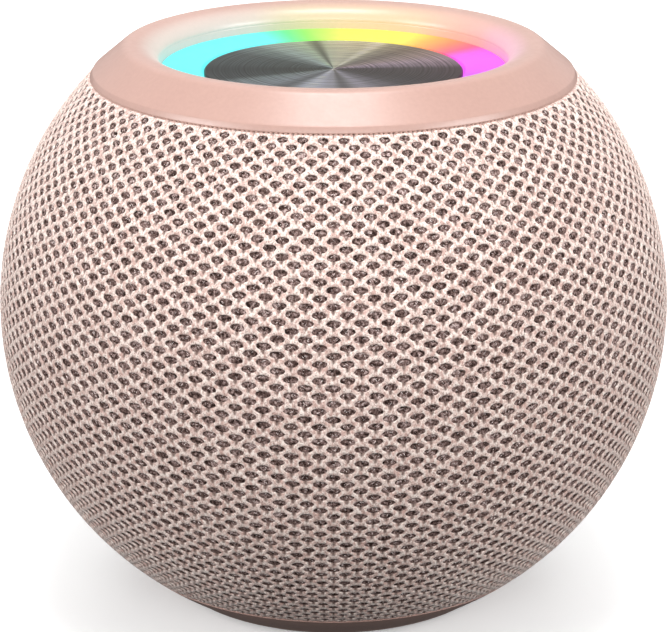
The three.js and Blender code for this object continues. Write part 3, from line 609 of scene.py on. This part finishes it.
def lathe(name, outline, segments=192, closed=True, sharp=35):
    """An outline of (r, z) points turned round the Z axis. Points on the axis are poles."""
    points, rings = [], []
    angles = np.arange(segments) * 2 * math.pi / segments
    for r, z in outline:
        if r < 1e-6:
            rings.append([len(points)])
            points.append((0, 0, z))
        else:
            rings.append(list(range(len(points), len(points) + segments)))
            points += [(r * math.cos(a), r * math.sin(a), z) for a in angles]
    faces = []
    for a, b in zip(rings, rings[1:] + rings[:1] if closed else rings[1:]):
        for i in range(segments):
            j = (i + 1) % segments
            corners = (a[i % len(a)], a[j % len(a)], b[j % len(b)], b[i % len(b)])
            corners = list(dict.fromkeys(corners))  # a pole counts once
            if len(corners) > 2:
                faces.append(corners)
    return solid(name, points, faces, sharp)


# ---- Knitted sleeve ----

COLUMNS = 83  # holes in one row round the ball
COLUMN_STEP = math.pi / COLUMNS  # between neighbouring columns, which are staggered
ROW_STEP = math.radians(1.2475)
FIRST_ROW = math.radians(17.14)  # latitude of one hole in the front column
FRONT = -math.pi / 2
YARN_DEPTH = 0.34  # from the crest of the yarn to the foot of a hole's wall
EDGE_ROLL = 0.45  # how far from an edge the sleeve starts to turn in
BACKING_OUTER = YARN_DEPTH - 0.06  # depth of the backing's two skins
BACKING_INNER = 1.15
BACKING_ROWS = 84
PANEL_CORNER = 9
WINDOW_GAP = 0.3
PARTS = 6
STRANDS = 5  # loose filaments seen in each hole
TUCK = math.radians(0.42)  # how far the cloth reaches into the seams past its solid
CLOTH_TOP, CLOTH_LOW = KNIT_TOP + TUCK, KNIT_LOW - TUCK


def tile_boundary():
    """One stitch's hexagon, in steps across and up, split so that neighbours share points."""
    corners = [(1 / 3, 1), (-1 / 3, 1), (-2 / 3, 0), (-1 / 3, -1), (1 / 3, -1), (2 / 3, 0)]
    splits = [4, 3, 3, 4, 3, 3]
    points = []
    for i, count in enumerate(splits):
        start, end = np.array(corners[i]), np.array(corners[(i + 1) % 6])
        points += [start + (end - start) * k / count for k in range(count)]
    return np.array(points)


def window_distance(x, z):
    """Signed distance to the panel's window seen along Y, and the direction outwards."""
    half_w = PANEL_W / 2 + WINDOW_GAP
    half_h = PANEL_H / 2 + WINDOW_GAP
    corner = PANEL_CORNER + WINDOW_GAP
    px, pz = np.abs(x) - (half_w - corner), np.abs(z - PANEL_Z) - (half_h - corner)
    out_x, out_z = np.maximum(px, 0), np.maximum(pz, 0)
    length = np.hypot(out_x, out_z)
    inside = np.minimum(np.maximum(px, pz), 0)
    distance = length + inside - corner
    safe = np.maximum(length, 1e-9)
    dir_x = np.where(length > 0, out_x / safe, (px > pz).astype(float))
    dir_z = np.where(length > 0, out_z / safe, (px <= pz).astype(float))
    return distance, dir_x * np.sign(x), dir_z * np.sign(z - PANEL_Z)


def trim(azimuth, latitude, depth, faces, roll):
    """Points of a skin, and which faces stay inside the seams and outside the panel's window.

    Points past an edge move onto it. roll is how far the edges turn in.
    """
    past_top, past_low = latitude > CLOTH_TOP, latitude < CLOTH_LOW
    latitude = np.clip(latitude, CLOTH_LOW, CLOTH_TOP)
    radius = BALL_R - depth
    x, y, z = radius * direction(azimuth, latitude).T
    distance, dir_x, dir_z = window_distance(x, z)
    distance = np.where(y > 0, distance, np.inf)
    in_window = distance < 0
    step = np.where(in_window, -distance, 0)
    x, z = x + dir_x * step, z + dir_z * step
    y = np.where(in_window, np.sqrt(np.maximum(radius**2 - x**2 - z**2, 0)), y)
    from_seam = np.minimum(CLOTH_TOP - latitude, latitude - CLOTH_LOW) * BALL_R
    near = np.minimum(from_seam, np.maximum(distance, 0))
    sink = roll * np.clip(1 - near / EDGE_ROLL, 0, 1) ** 2
    points = np.stack((x, y, z), axis=1)
    points *= (1 - sink / np.linalg.norm(points, axis=1))[:, None]
    gone = past_top | past_low | in_window
    return points, ~gone[faces].all(axis=1)


def stitch_centres():
    """Centres of the holes in steps across and up, staggered, on the whole sleeve."""
    rows_low = math.ceil((CLOTH_LOW - FIRST_ROW) / ROW_STEP) - 2
    rows_high = math.floor((CLOTH_TOP - FIRST_ROW) / ROW_STEP) + 2
    return np.array(
        [
            (column, row)
            for column in range(2 * COLUMNS)
            for row in range(rows_low, rows_high + 1)
            if (column + row) % 2 == 0
        ],
        float,
    )


def knit_arrays():
    """The knitted face: points in steps, their depths, the place of every corner in its stitch,
    quads, the shared point of every corner, each quad's stitch, and the stitches' centres.

    A stitch is four rings round its hole: the tile's edge, halfway in, the rim and the foot.
    """
    edge = tile_boundary()
    count = len(edge)
    angle = np.arctan2(edge[:, 1], edge[:, 0])
    rise = np.sin(angle)
    half_w, half_h = 0.56, 0.46  # of the hole, which is a little wider above
    rim = np.stack((half_w * np.cos(angle) * (1 + 0.06 * rise), half_h * rise), axis=1)
    foot = np.exp(-(((angle + math.pi / 2) / 0.08) ** 2))  # where the valley leaves the hole
    head = np.exp(-(((angle - math.pi / 2) / 0.08) ** 2))
    waist = np.exp(-(((np.abs(angle + math.pi / 2) - 0.75) / 0.35) ** 2))
    rim[:, 1] -= 0.12 * foot
    middle = edge + (rim - edge) * 0.62
    # each ring's points, depths and share of the unevenness
    rings = [
        (edge, 0.02 + 0.1 * (foot + head), 0),
        (middle, 0.02 + 0.16 * foot + 0.06 * waist, 0.7),
        (rim, 0.12 + 0.08 * foot, 1),
        (rim * 0.95, np.full(count, YARN_DEPTH), 1),
    ]
    levels = len(rings)
    centres = stitch_centres()
    random = np.random.default_rng(7)
    tiles = len(centres)
    swell = random.uniform(-0.02, 0.03, tiles)
    lean = random.uniform(-0.03, 0.03, (tiles, 1, 2))
    fray = random.normal(0, 0.028, (tiles, count, 2))
    latitude = FIRST_ROW + centres[:, 1] * ROW_STEP
    from_seam = np.minimum(CLOTH_TOP - latitude, latitude - CLOTH_LOW) / ROW_STEP
    open_part = np.clip((from_seam - 0.3) / 0.6, 0.1, 1)[:, None, None]  # closed at a hem
    points, depths = [], []
    for level, (ring, ring_depth, uneven) in enumerate(rings):
        size = open_part if level else 1
        points.append(centres[:, None, :] + (ring[None] + (lean + fray) * uneven) * size)
        wobble = swell[:, None] if level in (1, 2) else 0
        depths.append(ring_depth[None] + wobble * np.ones((tiles, count)))
    local = np.stack(points, axis=1).reshape(-1, 2)
    depth = np.stack(depths, axis=1).reshape(-1)
    place = np.tile(np.concatenate([ring for ring, _, _ in rings]), (tiles, 1))
    index = np.arange(tiles * levels * count).reshape(tiles, levels, count)
    quads = grid_quads(index, np.roll(index, -1, axis=2))
    quad_tile = np.repeat(np.arange(tiles), (levels - 1) * count)
    # neighbouring stitches share the points on their common edge, which lie on a fine grid
    grid_x, grid_y = 18, 3  # to a step
    across = np.round(local[:, 0] * grid_x).astype(np.int64) % (2 * COLUMNS * grid_x)
    up = np.round(local[:, 1] * grid_y).astype(np.int64)
    on_edge = np.zeros((tiles, levels, count), bool)
    on_edge[:, 0] = True
    own = np.arange(len(local)) + 10**9
    key = np.where(on_edge.reshape(-1), across * 4096 + up + 2048, own)
    _, first, inverse = np.unique(key, return_index=True, return_inverse=True)
    return local[first], depth[first], place, quads, inverse, quad_tile, centres


def vertex_normals(points, quads):
    a, b, c, d = (points[quads[:, k]] for k in range(4))
    face = np.cross(c - a, d - b)
    normals = np.zeros_like(points)
    for k in range(4):
        np.add.at(normals, quads[:, k], face)
    return normals / np.maximum(np.linalg.norm(normals, axis=1, keepdims=True), 1e-12)


def knit_faces(material):
    """The face in PARTS meshes. UVs hold the place in a stitch, and an attribute the depth."""
    local, depth, place, quads, inverse, quad_tile, centres = knit_arrays()
    shared = inverse[quads]
    azimuth = FRONT + local[:, 0] * COLUMN_STEP
    latitude = FIRST_ROW + local[:, 1] * ROW_STEP
    points, keep = trim(azimuth, latitude, depth, shared, roll=0.35)
    shared, corner_place, tile = shared[keep], place[quads[keep]], quad_tile[keep]
    normals = vertex_normals(points, shared)
    part = (centres[tile, 0] * PARTS // (2 * COLUMNS)).astype(int)
    pieces = []
    for k in range(PARTS):
        mine = part == k
        used, faces = np.unique(shared[mine], return_inverse=True)
        faces = faces.reshape(-1, 4)
        name = f"knit_face_{k + 1}"
        mesh = bpy.data.meshes.new(name)
        mesh.vertices.add(len(used))
        placed = (points[used] + (0, 0, CENTRE_Z)) * MM
        mesh.vertices.foreach_set("co", placed.astype(np.float32).ravel())
        mesh.loops.add(faces.size)
        mesh.loops.foreach_set("vertex_index", faces.astype(np.int32).ravel())
        mesh.polygons.add(len(faces))
        mesh.polygons.foreach_set("loop_start", np.arange(0, faces.size, 4, dtype=np.int32))
        mesh.update(calc_edges=True)
        mesh.polygons.foreach_set("use_smooth", np.ones(len(faces), bool))
        uv = mesh.uv_layers.new(name="stitch")
        uv.data.foreach_set("uv", corner_place[mine].astype(np.float32).ravel())
        tone = mesh.attributes.new("depth", "FLOAT", "POINT")
        tone.data.foreach_set("value", depth[used].astype(np.float32))
        mesh.normals_split_custom_set_from_vertices(normals[used].tolist())
        pieces.append(to_object(name, mesh, material))
    return pieces


def knit_backing(material):
    """A closed thin band under the face, cut like it."""
    around = 2 * COLUMNS
    azimuth, latitude = np.meshgrid(
        FRONT + np.arange(around) * 2 * math.pi / around,
        np.linspace(CLOTH_LOW, CLOTH_TOP, BACKING_ROWS + 1),
        indexing="ij",
    )
    index = np.arange(azimuth.size).reshape(azimuth.shape)
    quads = grid_quads(index, np.roll(index, -1, axis=0))
    place = azimuth.ravel(), latitude.ravel()
    outer, keep = trim(*place, BACKING_OUTER, quads, roll=0.15)
    inner, _ = trim(*place, BACKING_INNER, quads, roll=0)
    mesh = make_mesh("knit_backing", *slab(outer, inner, quads[keep].tolist()), sharp=60)
    clean(mesh)
    return to_object("knit_backing", mesh, material)


def knit_strands(material):
    """Short spindle-shaped filaments that cross each hole in front of the backing."""
    random = np.random.default_rng(11)
    centres = np.repeat(stitch_centres(), STRANDS, axis=0)
    count = len(centres)
    place = centres + np.stack(
        (random.uniform(-0.3, 0.3, count), random.uniform(-0.15, 0.38, count)), axis=1
    )
    azimuth = FRONT + place[:, 0] * COLUMN_STEP
    latitude = FIRST_ROW + place[:, 1] * ROW_STEP
    steep = random.uniform(25, 60, count) * np.where(random.random(count) < 0.5, -1, 1)
    angle = np.radians(steep)[:, None]
    half = random.uniform(0.22, 0.42, count)[:, None]
    thick = random.uniform(0.06, 0.1, count)[:, None]
    out = direction(azimuth, latitude)
    up = direction(azimuth, latitude + math.pi / 2)
    run = np.cross(up, out) * np.cos(angle) + up * np.sin(angle)
    side = np.cross(out, run)
    middle = out * (BALL_R - YARN_DEPTH + random.uniform(0.01, 0.12, count))[:, None]
    bow = out * -0.1  # the tips lie deeper than the middle
    rings = [middle + run * half + bow, middle - run * half + bow]
    for turn in (math.pi / 2, math.pi * 7 / 6, math.pi * 11 / 6):
        rings.append(middle + (out * math.sin(turn) + side * math.cos(turn)) * thick)
    seam_margin, window_margin = 0.012, 0.6  # in radians, in millimetres
    inside = (latitude > CLOTH_LOW + seam_margin) & (latitude < CLOTH_TOP - seam_margin)
    distance, _, _ = window_distance(middle[:, 0], middle[:, 2])
    inside &= (distance > window_margin) | (middle[:, 1] < 0)
    points = np.stack(rings, axis=1)[inside].reshape(-1, 3)
    spindle = np.array([(0, 2, 3), (0, 3, 4), (0, 4, 2), (1, 3, 2), (1, 4, 3), (1, 2, 4)])
    faces = (np.arange(inside.sum())[:, None, None] * 5 + spindle[None]).reshape(-1, 3)
    mesh = make_mesh("backing_strands", points, faces.tolist(), sharp=None)
    return to_object("backing_strands", mesh, material)


def clean(mesh):
    """Merges coincident points and drops what nothing uses."""
    bm = bmesh.new()
    bm.from_mesh(mesh)
    bmesh.ops.remove_doubles(bm, verts=bm.verts, dist=0.002 * MM)
    bmesh.ops.dissolve_degenerate(bm, edges=bm.edges, dist=0.001 * MM)
    loose = [v for v in bm.verts if not v.link_faces]
    bmesh.ops.delete(bm, geom=loose, context="VERTS")
    bmesh.ops.recalc_face_normals(bm, faces=bm.faces)
    bm.to_mesh(mesh)
    bm.free()


def seam_stitches(name, latitude, count, material):
    """A row of short raised stitches along a seam, which lean to either side in turn."""
    length, width, lean = 0.5, 0.26, 0.25
    radius = BALL_R - 0.28
    outline = [(-1, 0), (-0.55, -1), (0.55, -1), (1, 0), (0.55, 1), (-0.55, 1)]
    levels = [(-0.3, 1.0), (0.05, 1.0), (0.2, 0.5)]  # height above the radius, share of the size
    points, faces = [], []
    for i in range(count):
        tilt = lean if i % 2 else -lean
        faces += tube(len(levels), len(outline), len(points))
        for lift, share in levels:
            for across, up in outline:
                turn = across * share * length / 2 / (radius * math.cos(latitude))
                rise = (up * share * width / 2 + tilt * across * width) / radius
                out = direction(2 * math.pi * i / count + turn, latitude + rise)
                points.append((radius + lift) * out)
    return to_object(name, make_mesh(name, points, faces, sharp=60), material)


# ---- Top: ring, light and disc ----

CROWN_R = 29.3  # the ring's highest circle
LIP_R = 25.0
SEAT_Z = 33.6  # the step that the light guide rests on


def ring_mesh():
    crown_round, slope = 1.9, 40.9
    crease = (34.52, 35.13)
    lip_z, lip_round = 36.3, 0.35
    seat_r, under_z = 23.0, 32.2
    skirt_in, skirt_out, skirt_top = 31.0, 32.6, 33.2
    seam_z = math.sqrt(BALL_R**2 - SEAM_R**2)
    crown = arc(CROWN_R, CROWN_Z - crown_round, crown_round, 90 - slope, 90, 10)
    inner = [
        (CROWN_R - (CROWN_R - LIP_R) * math.sin(t), lip_z + (CROWN_Z - lip_z) * math.cos(t))
        for t in np.radians(np.linspace(4, 86, 16))
    ]
    start, end = np.array(crown[0]), np.array(crease)
    slope_line = [tuple(start + (end - start) * t) for t in np.linspace(0.92, 0.1, 8)]
    lower = fillet(
        [
            (*slope_line[0], 0),
            (*crease, 0.5),
            (SEAM_R, seam_z, 0.12),
            (skirt_out, skirt_top, 0),
        ]
    )
    outline = [
        *lower[:0:-1],
        *slope_line,
        *crown,
        *inner,
        *arc(LIP_R + lip_round, lip_z - 0.1, lip_round, 150, 180, 3),
        (LIP_R, SEAT_Z),
        (seat_r, SEAT_Z),
        (seat_r, under_z),
        (skirt_in, under_z),
        (skirt_in, SKIRT_Z),
        (skirt_out, SKIRT_Z),
    ]
    return lathe("ring_shell", outline, segments=256, sharp=40)


def diffuser_mesh():
    """A dish that rises from the disc to the ring's lip, with a short wall down its inside."""
    inner_r, wall = DISC_R + 0.4, 1
    rise = (DIFFUSER_RIM_Z - DISC_TOP_Z) / (DIFFUSER_OUT_R - inner_r)
    outline = [
        (inner_r, DIFFUSER_LOW_Z),
        (inner_r + wall, DIFFUSER_LOW_Z),
        (inner_r + wall, DISC_UNDER_Z),
        (DIFFUSER_OUT_R, DISC_UNDER_Z),
    ]
    for r in np.linspace(DIFFUSER_OUT_R, inner_r, 9):
        outline.append((r, DISC_TOP_Z + rise * (r - inner_r)))
    return lathe("dish_light", outline, segments=256)


def disc_mesh():
    """A thin disc with fine turned grooves round a sunk flat, and a chamfered edge."""
    pitch, depth, chamfer = 0.42, 0.022, 0.22
    flat_r, flat_z = 0.9, DISC_TOP_Z - 0.03
    land_z, under_edge = DISC_TOP_Z - 0.01, 0.1
    edge_r = DISC_R - chamfer
    outline = [(0, flat_z), (flat_r, flat_z)]
    for i in range(int((edge_r - flat_r - 0.3) / pitch)):
        start = flat_r + 0.1 + i * pitch
        outline.append((start, land_z))
        outline.append((start + pitch * 0.35, land_z - depth))
        outline.append((start + pitch * 0.55, land_z))
    outline += [
        (edge_r, DISC_TOP_Z),
        (DISC_R, DISC_TOP_Z - chamfer),
        (DISC_R, DISC_UNDER_Z + under_edge),
        (DISC_R - under_edge, DISC_UNDER_Z),
        (0, DISC_UNDER_Z),
    ]
    return lathe("spun_disc", outline, segments=160, closed=False, sharp=30)


# ---- Base ----

FOOT_IN_R = 17.6


def base_mesh():
    """The base's shell: its flank, the foot's groove, a shallow recess, and the inside."""
    edge_r, edge_z = 24.9, BASE_Z + 0.6  # the flank ends at edge_z
    groove_in, groove_out, groove_z = FOOT_IN_R - 0.3, FOOT_OUT_R + 0.3, BASE_Z + 1.2
    recess_r, recess_z = 12, BASE_Z + 0.4
    wall_r, floor_z = 46.4, BASE_Z + 2.2
    lip_in, lip_out, lip_top, lip_foot = 43.8, 45.2, -46, -51.5
    flank = arc(0, 0, BALL_R, BASE_SEAM, math.degrees(math.asin(edge_z / BALL_R)), 12)
    bottom = fillet(
        [
            (*flank[-1], 0),
            (edge_r, BASE_Z, 0.25),
            (groove_out, BASE_Z, 0.12),
            (groove_out, groove_z, 0),
            (groove_in, groove_z, 0),
            (groove_in, BASE_Z, 0.2),
            (recess_r, BASE_Z, 0.15),
            (recess_r - 0.2, recess_z, 0),
            (0, recess_z, 0),
        ]
    )
    inside = [
        (0, floor_z),
        (math.sqrt(wall_r**2 - floor_z**2), floor_z),
        *arc(0, 0, wall_r, -59, -53, 4),
        *arc(0, 0, lip_in, lip_foot, lip_top, 1),
        *arc(0, 0, lip_out, lip_top, BASE_SEAM, 1),
    ]
    return lathe("base_shell", flank[:-1] + bottom + inside, segments=256, sharp=40)


def foot_mesh():
    outline = fillet(
        [
            (FOOT_IN_R, FLOOR_Z, 0.35),
            (FOOT_OUT_R, FLOOR_Z, 0.35),
            (FOOT_OUT_R, FOOT_TOP_Z, 0.1),
            (FOOT_IN_R, FOOT_TOP_Z, 0.1),
        ]
    )
    return lathe("foot_ring", outline, segments=256)


# ---- Controls at the back ----


def ball_y(radius, x, z):
    return math.sqrt(max(radius * radius - x * x - z * z, 0.0))


def rounded_outline(half_w, half_h, corner, steps=10):
    points = []
    for x, z, start in ((1, 1, 0), (-1, 1, 90), (-1, -1, 180), (1, -1, 270)):
        x, z = x * (half_w - corner), z * (half_h - corner)
        points += arc(x, z, corner, start, start + 90, steps)
    return points


def circle(radius, count):
    angles = np.arange(count) * 2 * math.pi / count
    return [(radius * math.cos(a), radius * math.sin(a)) for a in angles]


def cutter(outline, x=0.0, z=0.0):
    """A prism along Y through the back of the ball."""
    low, high = 30, 60
    points = [(x + px, y, z + pz) for y in (low, high) for px, pz in outline]
    return solid("cutter", points, tube(2, len(outline)))


def applied(target, *tools):
    """The mesh that an object has after its modifiers. Removes the object and the tools."""
    depsgraph = bpy.context.evaluated_depsgraph_get()
    result = bpy.data.meshes.new_from_object(target.evaluated_get(depsgraph))
    for item in (target, *tools):
        bpy.data.objects.remove(item)
    return result


def carve(mesh, cutters, operation="DIFFERENCE"):
    """A mesh after a boolean with each cutter."""
    target = link("carved", mesh)
    tools = [link("tool", cutter_mesh) for cutter_mesh in cutters]
    for tool in tools:
        modifier = target.modifiers.new("cut", "BOOLEAN")
        modifier.operation = operation
        modifier.solver = "EXACT"
        modifier.object = tool
    return applied(target, *tools)


def bevelled(mesh, width, segments):
    """A mesh with its sharp edges rounded."""
    target = link("bevelled", mesh)
    modifier = target.modifiers.new("bevel", "BEVEL")
    modifier.width = width * MM
    modifier.segments = segments
    modifier.limit_method = "ANGLE"
    modifier.angle_limit = math.radians(40)
    result = applied(target)
    result.polygons.foreach_set("use_smooth", [True] * len(result.polygons))
    result.set_sharp_from_angle(angle=math.radians(30))
    return result


BUTTON_NAMES = ["power", "volume_down", "play", "volume_up", "light"]
BUTTON_R = 2.9
BUTTON_HOLE_R = 3.2
SOCKET_Z = -14.5
SOCKET_HOLE = (4.82, 1.93, 1.9)  # half width, half height, corner
PIPE_Z, PIPE_HOLE_R = -8.3, 1.1
MIC_X, MIC_Z, MIC_HOLE_R = 9, -14.5, 0.6
PANEL_OUT_R = 48.5
PANEL_IN_R = 45.6
PANEL_EDGE = 0.28  # rounding of its edges
CAP_TOP_R = 49.0


def button_centre(name):
    low, high = low_mm(f"button_{name}"), high_mm(f"button_{name}")
    return (low.x + high.x) / 2, (low.z + high.z) / 2 - CENTRE_Z


def panel_mesh():
    """A patch of a thick shell, cut to the panel's outline and pierced."""
    columns, rows, margin = 44, 26, 3
    xs = np.linspace(-PANEL_W / 2 - margin, PANEL_W / 2 + margin, columns + 1)
    zs = np.linspace(-PANEL_H / 2 - margin, PANEL_H / 2 + margin, rows + 1) + PANEL_Z
    outer, inner = (
        [(x, ball_y(radius, x, z), z) for x in xs for z in zs]
        for radius in (PANEL_OUT_R, PANEL_IN_R)
    )
    index = np.arange(len(outer)).reshape(len(xs), len(zs))
    points, faces = slab(outer, inner, grid_quads(index[:-1], index[1:]).tolist())
    patch = solid("panel_slab", points, faces)
    outline = rounded_outline(PANEL_W / 2, PANEL_H / 2, PANEL_CORNER, 12)
    body = carve(patch, [cutter(outline, z=PANEL_Z)], "INTERSECT")
    holes = [cutter(circle(BUTTON_HOLE_R, 48), *button_centre(name)) for name in BUTTON_NAMES]
    holes.append(cutter(rounded_outline(*SOCKET_HOLE, 8), z=SOCKET_Z))
    holes.append(cutter(circle(PIPE_HOLE_R, 24), z=PIPE_Z))
    holes.append(cutter(circle(MIC_HOLE_R, 20), MIC_X, MIC_Z))
    return bevelled(carve(body, holes), PANEL_EDGE, 3)


# A cap's top: radii, and how far each lies below the dome
CAP_DISH = [(0.02, 0.26), (0.8, 0.25), (1.5, 0.2), (2.05, 0.1), (2.35, 0.02)]
CAP_EDGE = [(2.6, 0.03), (2.78, 0.1), (2.87, 0.22), (BUTTON_R, 0.4)]


def cap_mesh(name):
    """A domed cap with a shallow dish, above a flange and a stem."""
    x0, z0 = button_centre(name)
    flange_r, flange_t, stem_r = 3.6, 0.8, 1.2
    stem_low = low_mm(f"button_{name}").y
    flange_top = ball_y(PANEL_IN_R, abs(x0) + flange_r, abs(z0) + flange_r) - 0.3
    flange_low = flange_top - flange_t
    count = 48
    points = []
    for radius, drop in CAP_DISH + CAP_EDGE:
        for px, pz in circle(radius, count):
            points.append((x0 + px, ball_y(CAP_TOP_R, x0 + px, z0 + pz) - drop, z0 + pz))
    shank = [(BUTTON_R, flange_top), (flange_r, flange_top), (flange_r, flange_low)]
    shank += [(stem_r, flange_low), (stem_r, stem_low)]
    for radius, y in shank:
        points += [(x0 + px, y, z0 + pz) for px, pz in circle(radius, count)]
    return solid(f"cap_{name}", points, tube(len(points) // count, count), sharp=40)


def stroke(points, width):
    """A closed outline round a polyline, with square ends."""
    line = np.array(points, float)
    ahead = np.gradient(line, axis=0)
    ahead /= np.linalg.norm(ahead, axis=1, keepdims=True)
    side = np.stack((-ahead[:, 1], ahead[:, 0]), axis=1) * width / 2
    return (line + side).tolist() + (line - side)[::-1].tolist()


def symbol_outlines(name):
    """Generic marks: power, minus, play and pause, plus, and a small sun."""
    if name == "power":
        return [stroke(arc(0, 0, 0.95, 125, 415, 28), 0.26), stroke([(0, 0.35), (0, 1.25)], 0.26)]
    if name == "volume_down":
        return [stroke([(-0.95, 0), (0.95, 0)], 0.28)]
    if name == "volume_up":
        return [
            stroke([(-0.95, 0), (0.95, 0)], 0.28),
            stroke([(0, 0.16), (0, 0.95)], 0.28),
            stroke([(0, -0.95), (0, -0.16)], 0.28),
        ]
    if name == "play":
        return [
            [(0.95, 0.75), (-0.15, 0), (0.95, -0.75)],
            stroke([(-0.45, -0.72), (-0.45, 0.72)], 0.24),
            stroke([(-0.9, -0.72), (-0.9, 0.72)], 0.24),
        ]
    rays = zip(circle(0.85, 8), circle(1.25, 8))
    return [circle(0.48, 24), *(stroke(ray, 0.2) for ray in rays)]


def symbol_mesh(name):
    """A raised mark that follows the dish of its cap."""
    x0, z0 = button_centre(name)
    sunk, raised, dish = 0.35, 0.07, 0.24
    points, faces = [], []
    for outline in symbol_outlines(name):
        faces += tube(2, len(outline), len(points))
        for lift in (-sunk, raised):
            for px, pz in outline:
                x, z = x0 + px, z0 + pz
                points.append((x, ball_y(CAP_TOP_R, x, z) - dish + lift, z))
    return solid(f"symbol_{name}", points, faces)


def socket_shell_mesh():
    """The steel shell of the charging socket, with a rounded mouth and a closed back."""
    back, mouth = low_mm("usb_c_shell").y, high_mm("usb_c_shell").y
    half_w, half_h, wall, mouth_edge, floor = 4.47, 1.58, 0.3, 0.12, 0.6
    # (how far in from the outer face, Y)
    levels = [
        (0, back),
        (0, mouth - mouth_edge),
        (0.08, mouth),
        (wall - 0.06, mouth),
        (wall, mouth - mouth_edge),
        (wall, back + floor),
    ]
    points = []
    for inset, y in levels:
        w, h = half_w - inset, half_h - inset
        points += [(px, y, SOCKET_Z + pz) for px, pz in rounded_outline(w, h, h)]
    faces = tube(len(levels), len(points) // len(levels))
    return solid("socket_shell", points, faces, sharp=35)


# ---- Everything put together ----


def replace(piece, node):
    """Hides the CAD node that a piece stands for."""
    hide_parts(node)


set_camera()
set_world()

pink = pink_plastic()
face_yarn = yarn()
faces = knit_faces(face_yarn)
backing = knit_backing(backing_cloth())
strands = knit_strands(backing_strand())
thread = stitch_thread()
top_stitches = seam_stitches("top_seam_stitches", CLOTH_TOP + 0.001, 330, thread)
low_stitches = seam_stitches("base_seam_stitches", CLOTH_LOW - 0.001, 300, thread)
on_cloth = [*faces, strands, top_stitches, low_stitches]
for piece in [backing, *on_cloth]:
    replace(piece, "knit_sleeve")

foot_rubber = soft_rubber("foot_rubber", rgb(182, 158, 149), 0.8)
# mesh, material, slot, the CAD node it replaces
HOUSING_PIECES = [
    (ring_mesh(), pink, "pink_plastic", "top_ring"),
    (diffuser_mesh(), lit_diffuser(), "light_guide", "light_diffuser"),
    (disc_mesh(), spun_metal(), "spun_aluminium", "top_disc"),
    (base_mesh(), pink, "pink_plastic", "base_cover"),
    (foot_mesh(), foot_rubber, "dark_rubber", "rubber_foot"),
]
for mesh, material, slot, node in HOUSING_PIECES:
    replace(to_object(mesh.name, mesh, material), node)
replace(to_object("control_plate", panel_mesh(), pink), "control_panel")

button_rubber = soft_rubber("button_rubber", rgb(222, 178, 163), 0.55)
symbol_paint = moulded("symbol_paint", rgb(250, 240, 234), 0.5)
for name in BUTTON_NAMES:
    body = f"{name}_button"
    cap = to_object(f"cap_{name}", cap_mesh(name), button_rubber, body)
    replace(cap, f"button_{name}")
    mark = to_object(f"symbol_{name}", symbol_mesh(name), symbol_paint, body)
nickel = metal("nickel_shell", rgb(205, 203, 198), 0.25)
replace(to_object("socket_shell", socket_shell_mesh(), nickel), "usb_c_shell")

# Materials for the CAD pieces that stay, by their slot in the record
steel = metal("steel_plate", rgb(176, 178, 180), 0.32)
black_board = circuit("black_board", rgb(24, 27, 31), rgb(52, 58, 64))
FINISHES = {
    "black_plastic": moulded("black_plastic", rgb(36, 36, 40), 0.5),
    "grey_plastic": moulded("grey_plastic", rgb(92, 88, 84), 0.6),
    "steel": steel,
    "zinc_plate": metal("zinc_plate", rgb(186, 189, 194), 0.4),
    "nickel": nickel,
    "ferrite": moulded("ferrite", rgb(44, 44, 47), 0.65),
    "copper": metal("copper_winding", rgb(196, 122, 66), 0.35),
    "resin_cloth": woven("resin_cloth", rgb(212, 170, 84), rgb(150, 108, 44)),
    "paper": woven("cone_paper", rgb(44, 44, 48), rgb(26, 26, 28)),
    "soft_rubber": soft_rubber("roll_rubber", rgb(28, 28, 30), 0.65),
    "battery_wrap": moulded("battery_wrap", rgb(52, 100, 176), 0.35),
    "circuit_board": circuit("green_board", rgb(20, 82, 52), rgb(44, 120, 78)),
    "led_package": moulded("led_package", rgb(240, 239, 233), 0.45),
    "light_guide": moulded("light_pipe", rgb(236, 240, 250), 0.2),
    "pink_plastic": pink,
    "pink_rubber": button_rubber,
    "spun_aluminium": steel,
    "dark_rubber": foot_rubber,
    "knit": face_yarn,
}
node_slot = {part["node"]: part["material_slot"] for part in frame["record"]["subparts"]}
for node, item in frame["nodes"].items():
    finish = black_board if node == "led_board" else FINISHES[node_slot[node]]
    item.data.materials.clear()
    item.data.materials.append(finish.material)

add_floor()
add_area_light("top_box", (0, 0.02, 0.75), (0.3, 0.3), 3.0)
add_area_light("key_box", (0, -0.66, 0.4), (0.7, 0.2), 2.0)
add_area_light("left_box", (-0.75, -0.35, 0.42), (0.5, 0.36), 4.4)
add_area_light("right_box", (0.75, -0.35, 0.42), (0.5, 0.36), 4.4)
back_box = add_area_light("back_box", (0, 0.75, 0.5), (0.7, 0.3), 3.6)
back_box.visible_glossy = False  # its reflection would whiten the disc
bpy.context.scene.view_settings.view_transform = "Standard"
